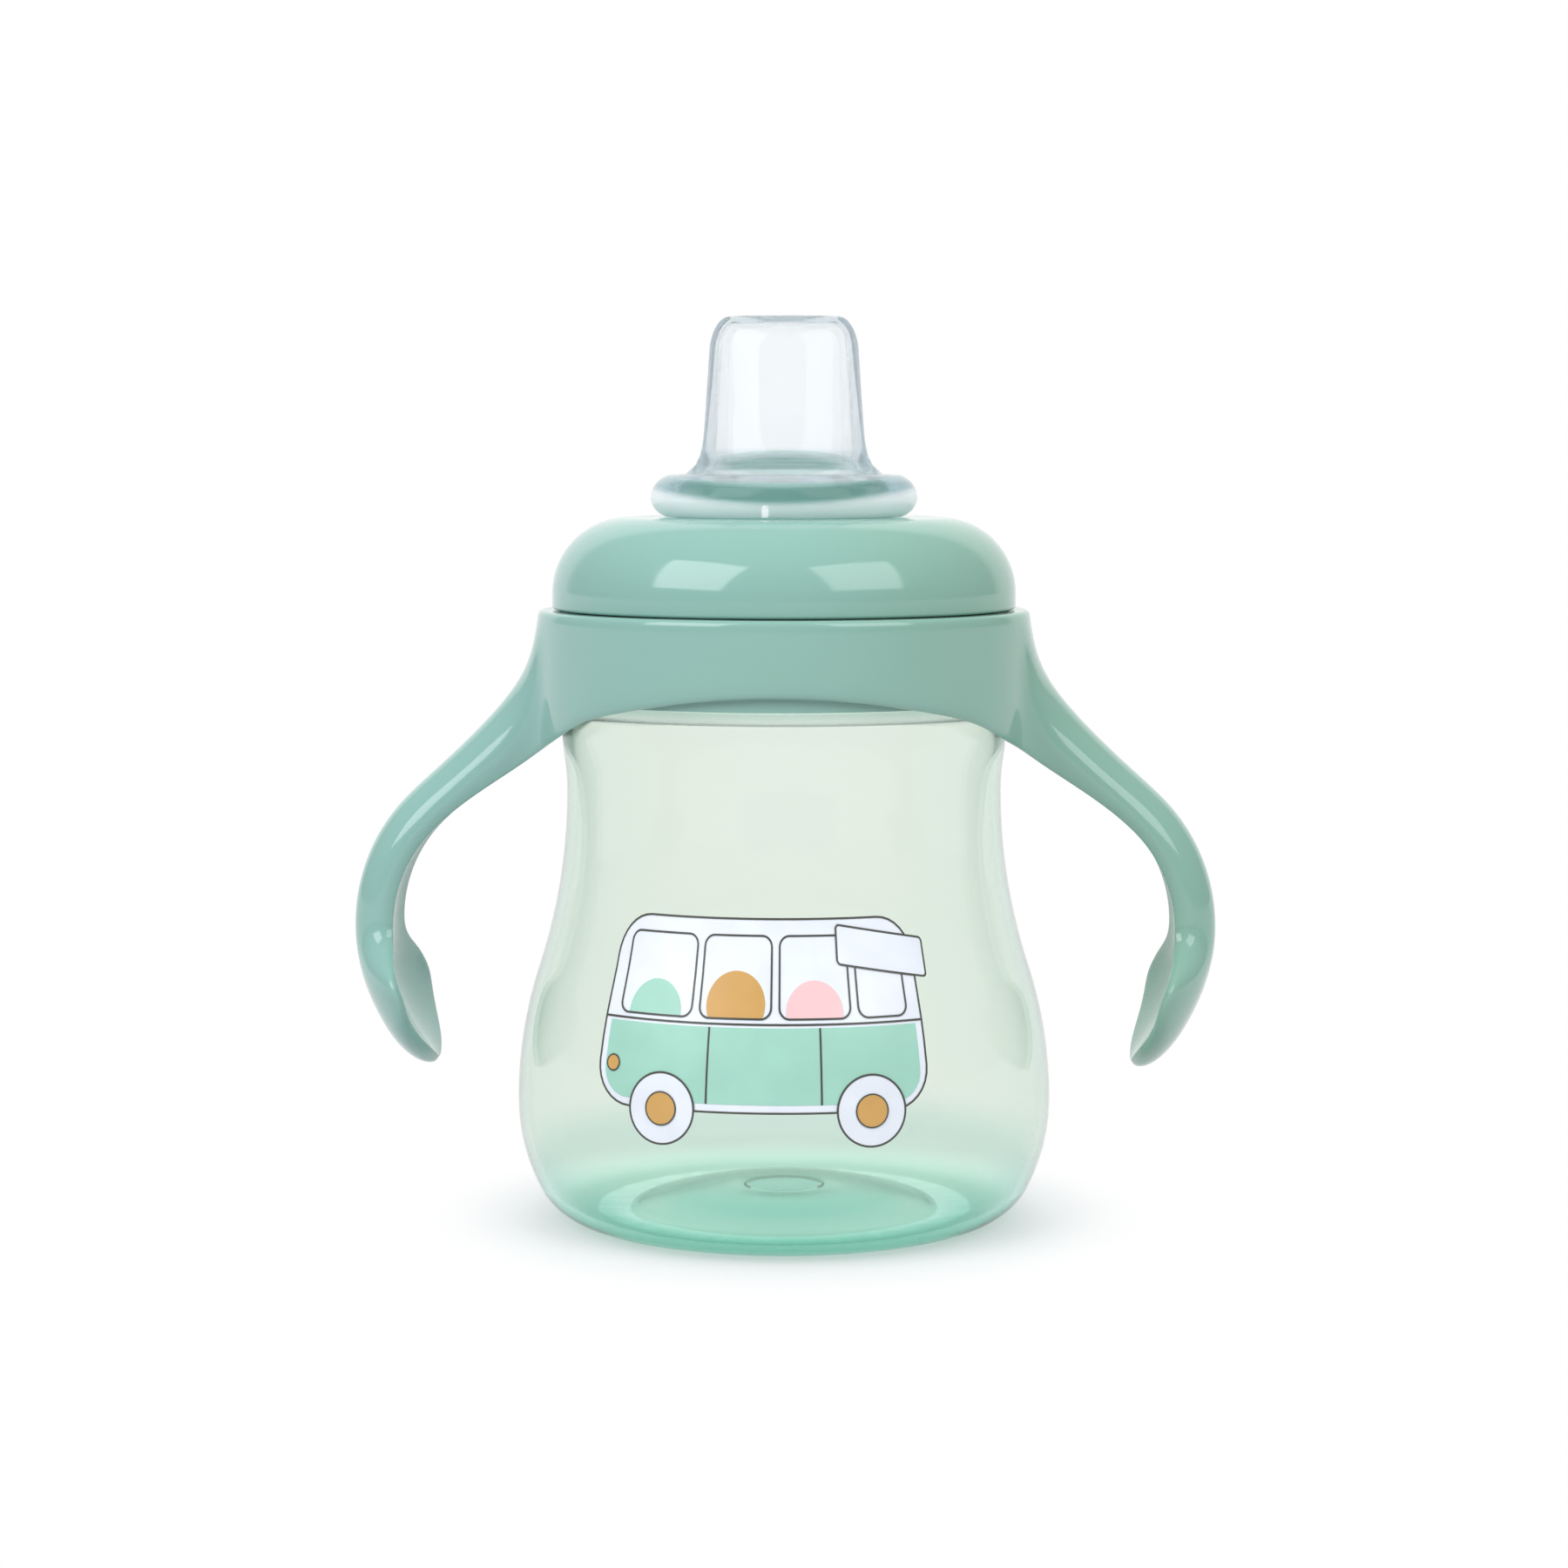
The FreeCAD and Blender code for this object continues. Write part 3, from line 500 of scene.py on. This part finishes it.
def swell(start, end, radius, step=10.0):
    """Points on the arc of a radius that bulges outwards between two points of an outline."""
    chord = math.dist(start, end)
    reach = math.sqrt(radius ** 2 - chord ** 2 / 4) / chord
    across = (start[0] + end[0]) / 2 - (end[1] - start[1]) * reach
    up = (start[1] + end[1]) / 2 + (end[0] - start[0]) * reach
    turns = [math.degrees(math.atan2(point[1] - up, point[0] - across)) for point in (start, end)]
    return arc(across, up, radius, *turns, step)


def bead_outline():
    """The bead's outer side, from its foot to the start of the spout."""
    foot, widest = (BEAD_FOOT, DOME_TOP + 0.15), (BEAD_RADIUS, BEAD_HEIGHT)
    return (swell(foot, widest, 3.2) + swell(widest, (BEAD_SHOULDER, BEAD_TOP), 3.6)[1:]
            + [(15.2, BEAD_TOP + 0.08)])


def between(oval, shares):
    """Rings on the level of an oval, these shares of the way in to the slit."""
    wide, deep, height = oval
    return [(wide + (SLIT_HALF[0] - wide) * share, deep + (SLIT_HALF[1] - deep) * share, height)
            for share in shares]


def make_spout():
    """One soft moulding: sealing flange, groove over the lip, bead, oval spout with a slit."""
    def round_rings(outline):
        return [(radius, radius, height) for radius, height in outline]

    gap = 0.15           # the silicone's play on the collar's lip and dome
    base = BEAD_TOP + 0.15
    heights = [base + (SPOUT_TOP - base) * math.sin(math.pi / 2 * step / 28) for step in range(29)]
    crown = between(spout_ring(SPOUT_TOP), (0.03, 0.1, 0.3, 0.6, 0.9, 0.98, 1.0))
    ceiling = between(cavity_ring(SPOUT_TOP), (1.0, 0.98, 0.9, 0.6, 0.3, 0.03))
    rings = (
        round_rings([(THROAT_RADIUS, SEAL_LOW), (SEAL_RADIUS - 0.2, SEAL_LOW), (SEAL_RADIUS, SEAL_LOW + 0.2),
                     (SEAL_RADIUS, SEAL_HIGH - 0.2), (SEAL_RADIUS - 0.2, SEAL_HIGH),
                     (LIP_INNER - gap, SEAL_HIGH), (LIP_INNER - gap, LIP_TOP + gap),
                     (LIP_OUTER + gap, LIP_TOP + gap), (LIP_OUTER + gap, DOME_TOP + gap)]
                    + bead_outline())
        + [spout_ring(height) for height in heights]
        + crown + ceiling
        + [cavity_ring(height) for height in heights[::-1]]
        + round_rings([(THROAT_RADIUS, LIP_TOP - 1.0), (THROAT_RADIUS, SEAL_LOW)]))
    body = ring_stack("spout_body", rings, 128, closed=True)
    bpy.ops.mesh.primitive_cube_add(size=MM, location=(-1.9 * MM, -17.4 * MM, (DOME_TOP + 1.1) * MM))
    rib = bpy.context.object
    rib.scale = (1.0, 1.9, 1.8)
    settle(rib)
    modified(rib, "BEVEL", width=0.3 * MM, segments=4)
    return joined("soft_spout", [rib, body])


# ---------------------------------------------------------------- printed toy bus
PRINT_ANGLE = -1.8       # degrees round from the front; plus is to the right
INK = 0.03
LINE = 0.28              # width of a drawn line
SILL = 33.0              # height of the bus's waistline
WINDOW_TOP = 44.4
WINDOWS = ((-22.8, -10.8), (-9.9, 0.8), (1.7, 12.2), (13.1, 20.8))
WHEELS = ((-14.5, 21.4), (14.4, 21.4))
HEADLAMP = (-22.6, 26.8)
DOOR_EDGES = (-8.2, 7.4)


def side_radius(height):
    """The bottle's outer radius at a height."""
    belly_angle, flank_angle, waist_curve = bottle_arcs()[:3]
    if height < BELLY_HEIGHT:
        return BELLY_RADIUS - BELLY_CURVE + math.sqrt(BELLY_CURVE ** 2 - (BELLY_HEIGHT - height) ** 2)
    if height < BELLY_HEIGHT + FLANK_CURVE * math.sin(math.radians(flank_angle)):
        return BELLY_RADIUS - FLANK_CURVE + math.sqrt(FLANK_CURVE ** 2 - (height - BELLY_HEIGHT) ** 2)
    return WAIST_RADIUS + waist_curve - math.sqrt(waist_curve ** 2 - (WAIST_HEIGHT - height) ** 2)


def flat_box(left, low, right, high, corner):
    """A flat shape with round corners, drawn across and up."""
    deselect()
    bpy.ops.mesh.primitive_plane_add(size=MM, location=((left + right) / 2 * MM, (low + high) / 2 * MM, 0))
    shape = bpy.context.object
    shape.scale = (right - left, high - low, 1)
    settle(shape)
    edit(shape)
    bpy.ops.mesh.select_all(action="SELECT")
    if corner:
        bpy.ops.mesh.bevel(offset=corner * MM, segments=8, affect="VERTICES")
    leave_edit()
    return shape


def flat_disc(across, up, radius):
    """A flat round shape."""
    deselect()
    bpy.ops.mesh.primitive_circle_add(vertices=56, radius=radius * MM, fill_type="NGON",
                                      location=(across * MM, up * MM, 0))
    settle(bpy.context.object)
    return bpy.context.object


def outline(shape, width):
    """Leave only a rim of this width."""
    edit(shape)
    bpy.ops.mesh.select_mode(type="FACE")
    bpy.ops.mesh.select_all(action="SELECT")
    bpy.ops.mesh.inset(thickness=width * MM)
    bpy.ops.mesh.delete(type="FACE")
    leave_edit()
    return shape


def cut(shape, point, way):
    """Cut the shape along a line through the point and drop what lies that way."""
    edit(shape)
    bpy.ops.mesh.select_all(action="SELECT")
    bpy.ops.mesh.bisect(plane_co=(point[0] * MM, point[1] * MM, 0), plane_no=(way[0], way[1], 0),
                        use_fill=False, clear_outer=True)
    leave_edit()
    return shape


def slope(shape, left, drop):
    """Let the shape sink to the right, by this much on each millimetre."""
    for vertex in shape.data.vertices:
        vertex.co.y -= (vertex.co.x - left * MM) * drop
    return shape


def wrap(shape, layer):
    """Wind a flat shape round the bottle's side as a thin layer of ink."""
    edit(shape)
    for step in range(-14, 15):
        bpy.ops.mesh.select_all(action="SELECT")
        bpy.ops.mesh.bisect(plane_co=(step * 2 * MM, 0, 0), plane_no=(1, 0, 0))
    for step in range(5, 17):
        bpy.ops.mesh.select_all(action="SELECT")
        bpy.ops.mesh.bisect(plane_co=(0, step * 3 * MM, 0), plane_no=(0, 1, 0))
    leave_edit()
    for vertex in shape.data.vertices:
        across, up = vertex.co.x / MM, vertex.co.y / MM
        turn = math.radians(PRINT_ANGLE) + across / BELLY_RADIUS
        radius = side_radius(up) + 0.01 + layer * INK
        vertex.co = Vector((radius * math.sin(turn), -radius * math.cos(turn), up)) * MM
    return modified(shape, "SOLIDIFY", thickness=INK * 0.7 * MM, offset=1.0)


def make_print():
    """A boxy toy bus with plain windows, three balls inside and a plain pennant on the roof."""
    body_low = 22.4
    pennant_slope = 0.16
    on_sill = (0, SILL + 0.4)
    whites = [(flat_box(-25.0, 21.4, 22.8, 46.4, 5.5), 0)]
    whites += [(flat_disc(*wheel, 4.75), 3) for wheel in WHEELS]
    whites += [(slope(flat_box(10.6, 40.6, 24.8, 45.6, 0.6), 10.6, pennant_slope), 3)]
    mints = [(cut(flat_box(-24.0, body_low, 21.8, 40.0, 4.0), (0, SILL - 0.6), (0, 1)), 1),
             (cut(flat_disc(-16.8, SILL + 1.0, 4.2), on_sill, (0, -1)), 1)]
    ochres = [(flat_disc(*wheel, 2.15), 5) for wheel in WHEELS]
    ochres += [(cut(flat_disc(-4.5, SILL + 2.4, 4.3), on_sill, (0, -1)), 1), (flat_disc(*HEADLAMP, 1.0), 3)]
    pinks = [(cut(flat_disc(6.9, SILL + 1.4, 4.1), on_sill, (0, -1)), 1)]
    thin = LINE * 0.7
    lines = [(outline(flat_box(-25.2, 21.2, 23.0, 46.6, 5.7), LINE), 2),
             (flat_box(-25.0, SILL - 0.3, 22.8, SILL - 0.3 + LINE, 0), 2)]
    lines += [(outline(flat_box(left, SILL + 0.4, right, WINDOW_TOP, 1.6), LINE), 2)
              for left, right in WINDOWS]
    lines += [(outline(flat_disc(*HEADLAMP, 1.15), thin), 4)]
    lines += [(flat_box(edge, body_low, edge + LINE, SILL - 0.6, 0), 2) for edge in DOOR_EDGES]
    lines += [(outline(flat_disc(*wheel, 4.9), LINE), 4) for wheel in WHEELS]
    lines += [(outline(flat_disc(*wheel, 2.3), thin), 6) for wheel in WHEELS]
    lines += [(slope(outline(flat_box(10.4, 40.4, 25.0, 45.8, 0.7), LINE), 10.6, pennant_slope), 4)]
    inks = {"white": whites, "mint": mints, "ochre": ochres, "pink": pinks, "line": lines}
    return {ink: joined("print_" + ink, [wrap(shape, layer) for shape, layer in shapes])
            for ink, shapes in inks.items()}


# ---------------------------------------------------------------- shader maths
class Wire:
    """An output of a node tree. Operators on wires add Math nodes."""

    def __init__(self, shader, socket):
        self.shader = shader
        self.socket = socket

    def math(self, operation, *values):
        """A Math node with these values on its sockets."""
        return self.shader.add("ShaderNodeMath", {"operation": operation}, dict(enumerate(values)))

    def __add__(self, other):
        return self.math("ADD", self, other)

    def __sub__(self, other):
        return self.math("SUBTRACT", self, other)

    def __mul__(self, other):
        return self.math("MULTIPLY", self, other)

    def __rsub__(self, other):
        return self.math("SUBTRACT", other, self)

    __radd__ = __add__
    __rmul__ = __mul__

    def above(self, low, high):
        """0 below low, 1 above high, smooth between."""
        return self.shader.add("ShaderNodeMapRange", {"interpolation_type": "SMOOTHSTEP"},
                               {"Value": self, "From Min": low, "From Max": high})


class Shader:
    """A node tree that is written as expressions."""

    def __init__(self, owner, output):
        owner.use_nodes = True
        self.tree = owner.node_tree
        self.tree.nodes.clear()
        self.output = self.tree.nodes.new(output)

    def add(self, kind, settings, inputs, output=0):
        """A node: its settings are set first, then its sockets are filled or linked."""
        node = self.tree.nodes.new(kind)
        for key, value in settings.items():
            setattr(node, key, value)
        for key, value in inputs.items():
            if isinstance(value, Wire):
                self.tree.links.new(value.socket, node.inputs[key])
            else:
                node.inputs[key].default_value = value
        return Wire(self, node.outputs[output])

    def place(self):
        """Object coordinates, in metres."""
        return self.add("ShaderNodeTexCoord", {}, {}, "Object")

    def axis(self, index):
        """One of the object coordinates: 0 across, 1 to the back, 2 up."""
        return self.add("ShaderNodeSeparateXYZ", {}, {0: self.place()}, index)

    def ray(self, kind):
        """1 on rays of this kind, else 0."""
        return self.add("ShaderNodeLightPath", {}, {}, kind)

    def noise(self, scale, detail=2.0):
        """Noise with features of about 1 / scale metres."""
        return self.add("ShaderNodeTexNoise", {}, {"Vector": self.place(), "Scale": scale, "Detail": detail})

    def mix(self, factor, low, high):
        """One colour turning into another."""
        return self.add("ShaderNodeMix", {"data_type": "RGBA"}, {0: factor, 6: low, 7: high}, 2)

    def bump(self, height, distance, strength=1.0):
        """A normal that follows a height; the distance is in metres."""
        return self.add("ShaderNodeBump", {}, {"Height": height, "Distance": distance, "Strength": strength})

    def finish(self, surface, volume=None):
        """Link what the tree has made to its output."""
        self.tree.links.new(surface.socket, self.output.inputs["Surface"])
        if volume:
            self.tree.links.new(volume.socket, self.output.inputs["Volume"])


def material(name):
    """A new material and its node tree."""
    made = bpy.data.materials.new(name)
    return made, Shader(made, "ShaderNodeOutputMaterial")


def linear(red, green, blue):
    """A colour from its screen values of 0 to 255."""
    return tuple((value / 255 / 12.92 if value < 11 else ((value / 255 + 0.055) / 1.055) ** 2.4)
                 for value in (red, green, blue)) + (1.0,)


def mint_plastic():
    """Glossy moulded plastic with painted light, bluer on the left and greener on the right as the light
    falls, with a faint random shift of tone and orange peel.
    """
    made, shader = material("mint_plastic")
    # Painted light: the mint is bluer on the left and greener on the right, as the light falls; a little
    # random tone is mixed in.
    side_light_and_tone = shader.axis(0).above(-0.05, 0.05) * 0.8 + shader.noise(28.0).above(0.3, 0.7) * 0.2
    surface = shader.add("ShaderNodeBsdfPrincipled", {}, {
        "Base Color": shader.mix(side_light_and_tone, linear(137, 181, 174), linear(133, 175, 158)),
        "Roughness": 0.07 + 0.04 * shader.noise(180.0).above(0.35, 0.65), "IOR": 1.58,
        "Normal": shader.bump(shader.noise(300.0, 1.0), 0.000004, 0.1)})
    shader.finish(surface)
    return made


def absorbing(shader, absorbed):
    """A clear body that takes this much of red, green and blue away on each metre."""
    density = max(absorbed) / 0.8
    return shader.add("ShaderNodeVolumeAbsorption", {}, {
        "Color": tuple(1 - value / density for value in absorbed) + (1.0,), "Density": density})


def lets_lamps_in(shader, surface, shade):
    """The same surface, but with a soft tinted shadow."""
    lamp_light = shader.add("ShaderNodeBsdfTransparent", {}, {"Color": shade})
    return shader.add("ShaderNodeMixShader", {}, {0: shader.ray("Is Shadow Ray"), 1: surface, 2: lamp_light})


def tinted_plastic():
    """Clear green-tinted plastic, deeper in colour in its pushed-up base and round the foot, with painted
    shade low on the wall and at the foot's corner, deepest at the front; faint where the ledge and the ring
    meet."""
    made, shader = material("tinted_plastic")
    up = shader.axis(2)
    level = shader.add("ShaderNodeVectorMath", {"operation": "MULTIPLY"},
                       {0: shader.place(), 1: (1, 1, 0)})
    reach = shader.add("ShaderNodeVectorMath", {"operation": "LENGTH"}, {0: level}, "Value")
    clear, shallow, painted_edge_shade_colour, deep = (linear(254, 253, 249), linear(214, 240, 231), linear(178, 220, 217),
                                    linear(136, 203, 187))
    low = 1 - up.above(0.0002, 0.0058)
    foot = shader.mix(low, clear, shallow)
    # Painted shade: a blue-tinted stripe low on the wall near the foot, for the darker edge that the curved
    # wall shows.
    bend = (1 - up.above(0.003, 0.014)) * reach.above(0.0310, 0.0365)
    wall = shader.mix(0.75 * bend, foot, painted_edge_shade_colour)
    # Painted shade: the foot's corner takes a deeper teal, strongest at the front and fading towards the
    # back.
    back = shader.axis(1).above(-0.014, 0.010)
    corner = low * reach.above(0.021, 0.027) * (1 - 0.85 * back)
    side = shader.mix(corner, wall, deep)
    middle, rest = linear(160, 216, 206), linear(188, 229, 220)
    pushup = shader.mix(reach.above(0.0045, 0.0075), middle, rest)
    edge = LEDGE * MM
    at_ledge = up.above(edge - 2.4 * MM, edge - 1.2 * MM) * (1 - up.above(edge, edge + 0.6 * MM))
    glass = shader.add("ShaderNodeBsdfPrincipled", {}, {
        "Base Color": shader.mix(reach.above(0.014, 0.021), pushup, side),
        "Roughness": 0.05 + 0.02 * shader.noise(90.0).above(0.3, 0.7),
        "IOR": 1.26, "Transmission Weight": 1.0, "Alpha": 1 - 0.85 * at_ledge,
        "Normal": shader.bump(shader.noise(60.0, 1.0), 0.00002, 1.0)})
    surface = lets_lamps_in(shader, glass, (0.93, 0.97, 0.94, 1))
    shader.finish(surface, absorbing(shader, (78.0, 40.0, 52.0)))
    return made


def clear_silicone():
    """Clear silicone, a trace milky, milkier where the bead meets the collar, with a painted refraction of
    the collar's lip: deeper in colour round the bead and where the spout grows out of it."""
    made, shader = material("clear_silicone")
    up = shader.axis(2)
    across = shader.axis(0)
    climb = up - across * across * (1.3 * MM / (15 * MM) ** 2)
    low = (DOME_TOP + 1.2) * MM
    high = BEAD_TOP * MM
    in_bead = 1 - climb.above(high - 2.0 * MM, high - 1.2 * MM)
    # Painted refraction: a teal stripe round the bead stands for the collar's lip seen through the silicone.
    painted_lip_band = climb.above(low + 0.4 * MM, low + 1.6 * MM) * in_bead
    # Painted refraction: a teal lens where the spout grows out of the bead, the lip's far side seen through
    # the silicone.
    rise = (up - high - 1.3 * MM) * (1 / (1.3 * MM))
    lens = across * across * (1 / (9.0 * MM) ** 2) + rise * rise
    deep = painted_lip_band.math("MAXIMUM", painted_lip_band, 1 - lens.above(0.5, 1.1))
    glass = shader.add("ShaderNodeBsdfPrincipled", {}, {
        "Base Color": shader.mix(deep, (1, 1, 1, 1), linear(176, 206, 200)),
        "Roughness": 0.015 + 0.02 * shader.noise(150.0).above(0.35, 0.65),
        "IOR": 1.3, "Transmission Weight": 1.0, "Alpha": 0.8,
        "Normal": shader.bump(shader.noise(120.0, 1.0), 0.00001, 1.0)})
    milk = shader.add("ShaderNodeBsdfPrincipled", {}, {
        "Base Color": linear(246, 248, 248), "Roughness": 0.12, "IOR": 1.41})
    foot = 0.72 * (1 - climb.above(low, low + 1.5 * MM))
    brow = 0.12 * up.above(high - 1.3 * MM, high - 0.5 * MM) * (1 - up.above(high, high + 1.2 * MM))
    mixed = shader.add("ShaderNodeMixShader", {}, {0: foot + brow + 0.035, 1: glass, 2: milk})
    surface = lets_lamps_in(shader, mixed, (0.95, 0.96, 0.97, 1))
    shader.finish(surface, absorbing(shader, (30.0, 20.0, 14.0)))
    return made


def printed_ink(name, colour):
    """Satin ink whose tone drifts a little, as a thin print does."""
    made, shader = material(name)
    pale = tuple(min(1.0, value * 1.06) for value in colour[:3]) + (1.0,)
    surface = shader.add("ShaderNodeBsdfPrincipled", {}, {
        "Base Color": shader.mix(shader.noise(160.0).above(0.3, 0.7), colour, pale),
        "Roughness": 0.3 + 0.08 * shader.noise(400.0).above(0.35, 0.65),
        "Normal": shader.bump(shader.noise(1500.0, 1.0), 0.000003, 0.3)})
    shader.finish(surface)
    return made


# ---------------------------------------------------------------- studio
ROOM = 0.4               # how bright the room is in mirrored rays
SIDE_LIGHT = 0.15
TOP_LIGHT = 1.08
LAMP_DISTANCE = 0.85
LAMP_SIZE = (0.56, 0.56)
LAMP_AIM = (0, 0, 0.07)


def seen_directly(shader):
    """1 for what the camera sees, mirrored and through clear plastic too; 0 for light that falls
    on a matt surface."""
    rays = [shader.ray(kind) for kind in ("Is Camera Ray", "Is Glossy Ray", "Is Transmission Ray")]
    return rays[0].math("MAXIMUM", rays[0], rays[1].math("MAXIMUM", rays[1], rays[2]))


def white_world():
    """White to the eye and through clear plastic, and in what is mirrored from the far side; a
    dimmer room in front, and light that falls mostly from above."""
    world = bpy.data.worlds.new("studio")
    bpy.context.scene.world = world
    shader = Shader(world, "ShaderNodeOutputWorld")
    way = shader.add("ShaderNodeTexCoord", {}, {}, "Generated")
    forward = shader.add("ShaderNodeSeparateXYZ", {}, {0: way}, 1)
    upward = shader.add("ShaderNodeSeparateXYZ", {}, {0: way}, 2)
    mirrored = shader.ray("Is Glossy Ray") * (1 - shader.ray("Is Transmission Ray"))
    seen = seen_directly(shader)
    white = 1 - mirrored * (1 - ROOM) * (1 - forward.above(0.60, 0.74))
    light = SIDE_LIGHT + (TOP_LIGHT - SIDE_LIGHT) * upward.above(0.0, 0.9)
    strength = white * seen + light * (1 - seen)
    background = shader.add("ShaderNodeBackground", {}, {"Color": (1, 1, 1, 1), "Strength": strength})
    shader.finish(background)


def softbox(name, azimuth, elevation, power, mirrored=True):
    """A rectangular lamp that faces the cup; azimuth 0 is the camera's side. Its power is in watts,
    and one that isn't mirrored leaves no highlight."""
    lamp = bpy.data.lights.new(name, "AREA")
    lamp.shape = "RECTANGLE"
    lamp.size, lamp.size_y = LAMP_SIZE
    lamp.energy = power
    holder = bpy.data.objects.new(name, lamp)
    bpy.context.scene.collection.objects.link(holder)
    a, e = math.radians(azimuth), math.radians(elevation)
    way = Vector((math.sin(a) * math.cos(e), -math.cos(a) * math.cos(e), math.sin(e)))
    holder.location = Vector(LAMP_AIM) + way * LAMP_DISTANCE
    holder.rotation_euler = way.to_track_quat("Z", "Y").to_euler()
    holder.visible_camera = False
    holder.visible_transmission = False
    holder.visible_glossy = mirrored


def make_floor():
    """A pale floor that fades to plain white far from the cup."""
    deselect()
    bpy.ops.mesh.primitive_plane_add(size=40)
    floor = bpy.context.object
    floor.name = "floor"
    made, shader = material("pale_floor")
    away = shader.add("ShaderNodeVectorMath", {"operation": "LENGTH"}, {0: shader.place()}, "Value")
    seen = seen_directly(shader)
    glow = 0.32 * seen + 0.35 * shader.ray("Is Transmission Ray")
    matt = shader.add("ShaderNodeBsdfDiffuse", {}, {"Color": (0.5, 0.51, 0.53, 1)})
    lift = shader.add("ShaderNodeEmission", {}, {"Color": (1, 1, 1, 1), "Strength": glow})
    near = shader.add("ShaderNodeAddShader", {}, {0: matt, 1: lift})
    white = shader.add("ShaderNodeEmission", {}, {"Color": (1, 1, 1, 1), "Strength": 1.0})
    fade = away.above(0.032, 0.053) * seen
    shader.finish(shader.add("ShaderNodeMixShader", {}, {0: fade, 1: near, 2: white}))
    floor.data.materials.append(made)


def make_camera():
    """A level-headed view from just below the collar's height, looking a little down."""
    lens = bpy.data.cameras.new("camera")
    lens.lens = 84.3
    lens.sensor_width = 36
    holder = bpy.data.objects.new("camera", lens)
    bpy.context.scene.collection.objects.link(holder)
    bpy.context.scene.camera = holder
    turn = math.radians(2.0)
    distance, height, tilt = 0.515, 0.1103, math.radians(5.42)
    holder.location = (distance * math.sin(turn), -distance * math.cos(turn), height)
    holder.rotation_euler = (math.pi / 2 - tilt, 0, turn)


# ---------------------------------------------------------------- the cup
def dress(piece, made, body, node):
    """Give a piece its material and its body, and hide the CAD node it stands for."""
    piece.data.materials.clear()
    piece.data.materials.append(made)
    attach(piece, body)
    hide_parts(node)


mint = mint_plastic()
bottle = make_bottle()
smooth(bottle)
dress(bottle, tinted_plastic(), "bottle", "bottle")
collar = make_collar()
smooth(collar)
dress(collar, mint, "collar", "screw_collar")
spout = make_spout()
smooth(spout)
dress(spout, clear_silicone(), "spout", "silicone_spout")
ring = make_handle_ring()
smooth(ring)
dress(ring, mint, "handles", "handle_ring")

INKS = {"white": linear(228, 234, 243), "mint": linear(158, 208, 191), "ochre": linear(205, 160, 92),
        "pink": linear(238, 196, 199), "line": linear(72, 74, 68)}
for ink, piece in make_print().items():
    smooth(piece)
    piece.data.materials.append(printed_ink("ink_" + ink, INKS[ink]))
    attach(piece, "bottle")

white_world()
softbox("left_softbox", -47, 34, 3.6)
softbox("right_softbox", 44, 34, 2.6)
softbox("rear_softbox", 180, 38, 2.4, mirrored=False)
make_floor()
make_camera()
bpy.context.scene.view_settings.view_transform = "Standard"
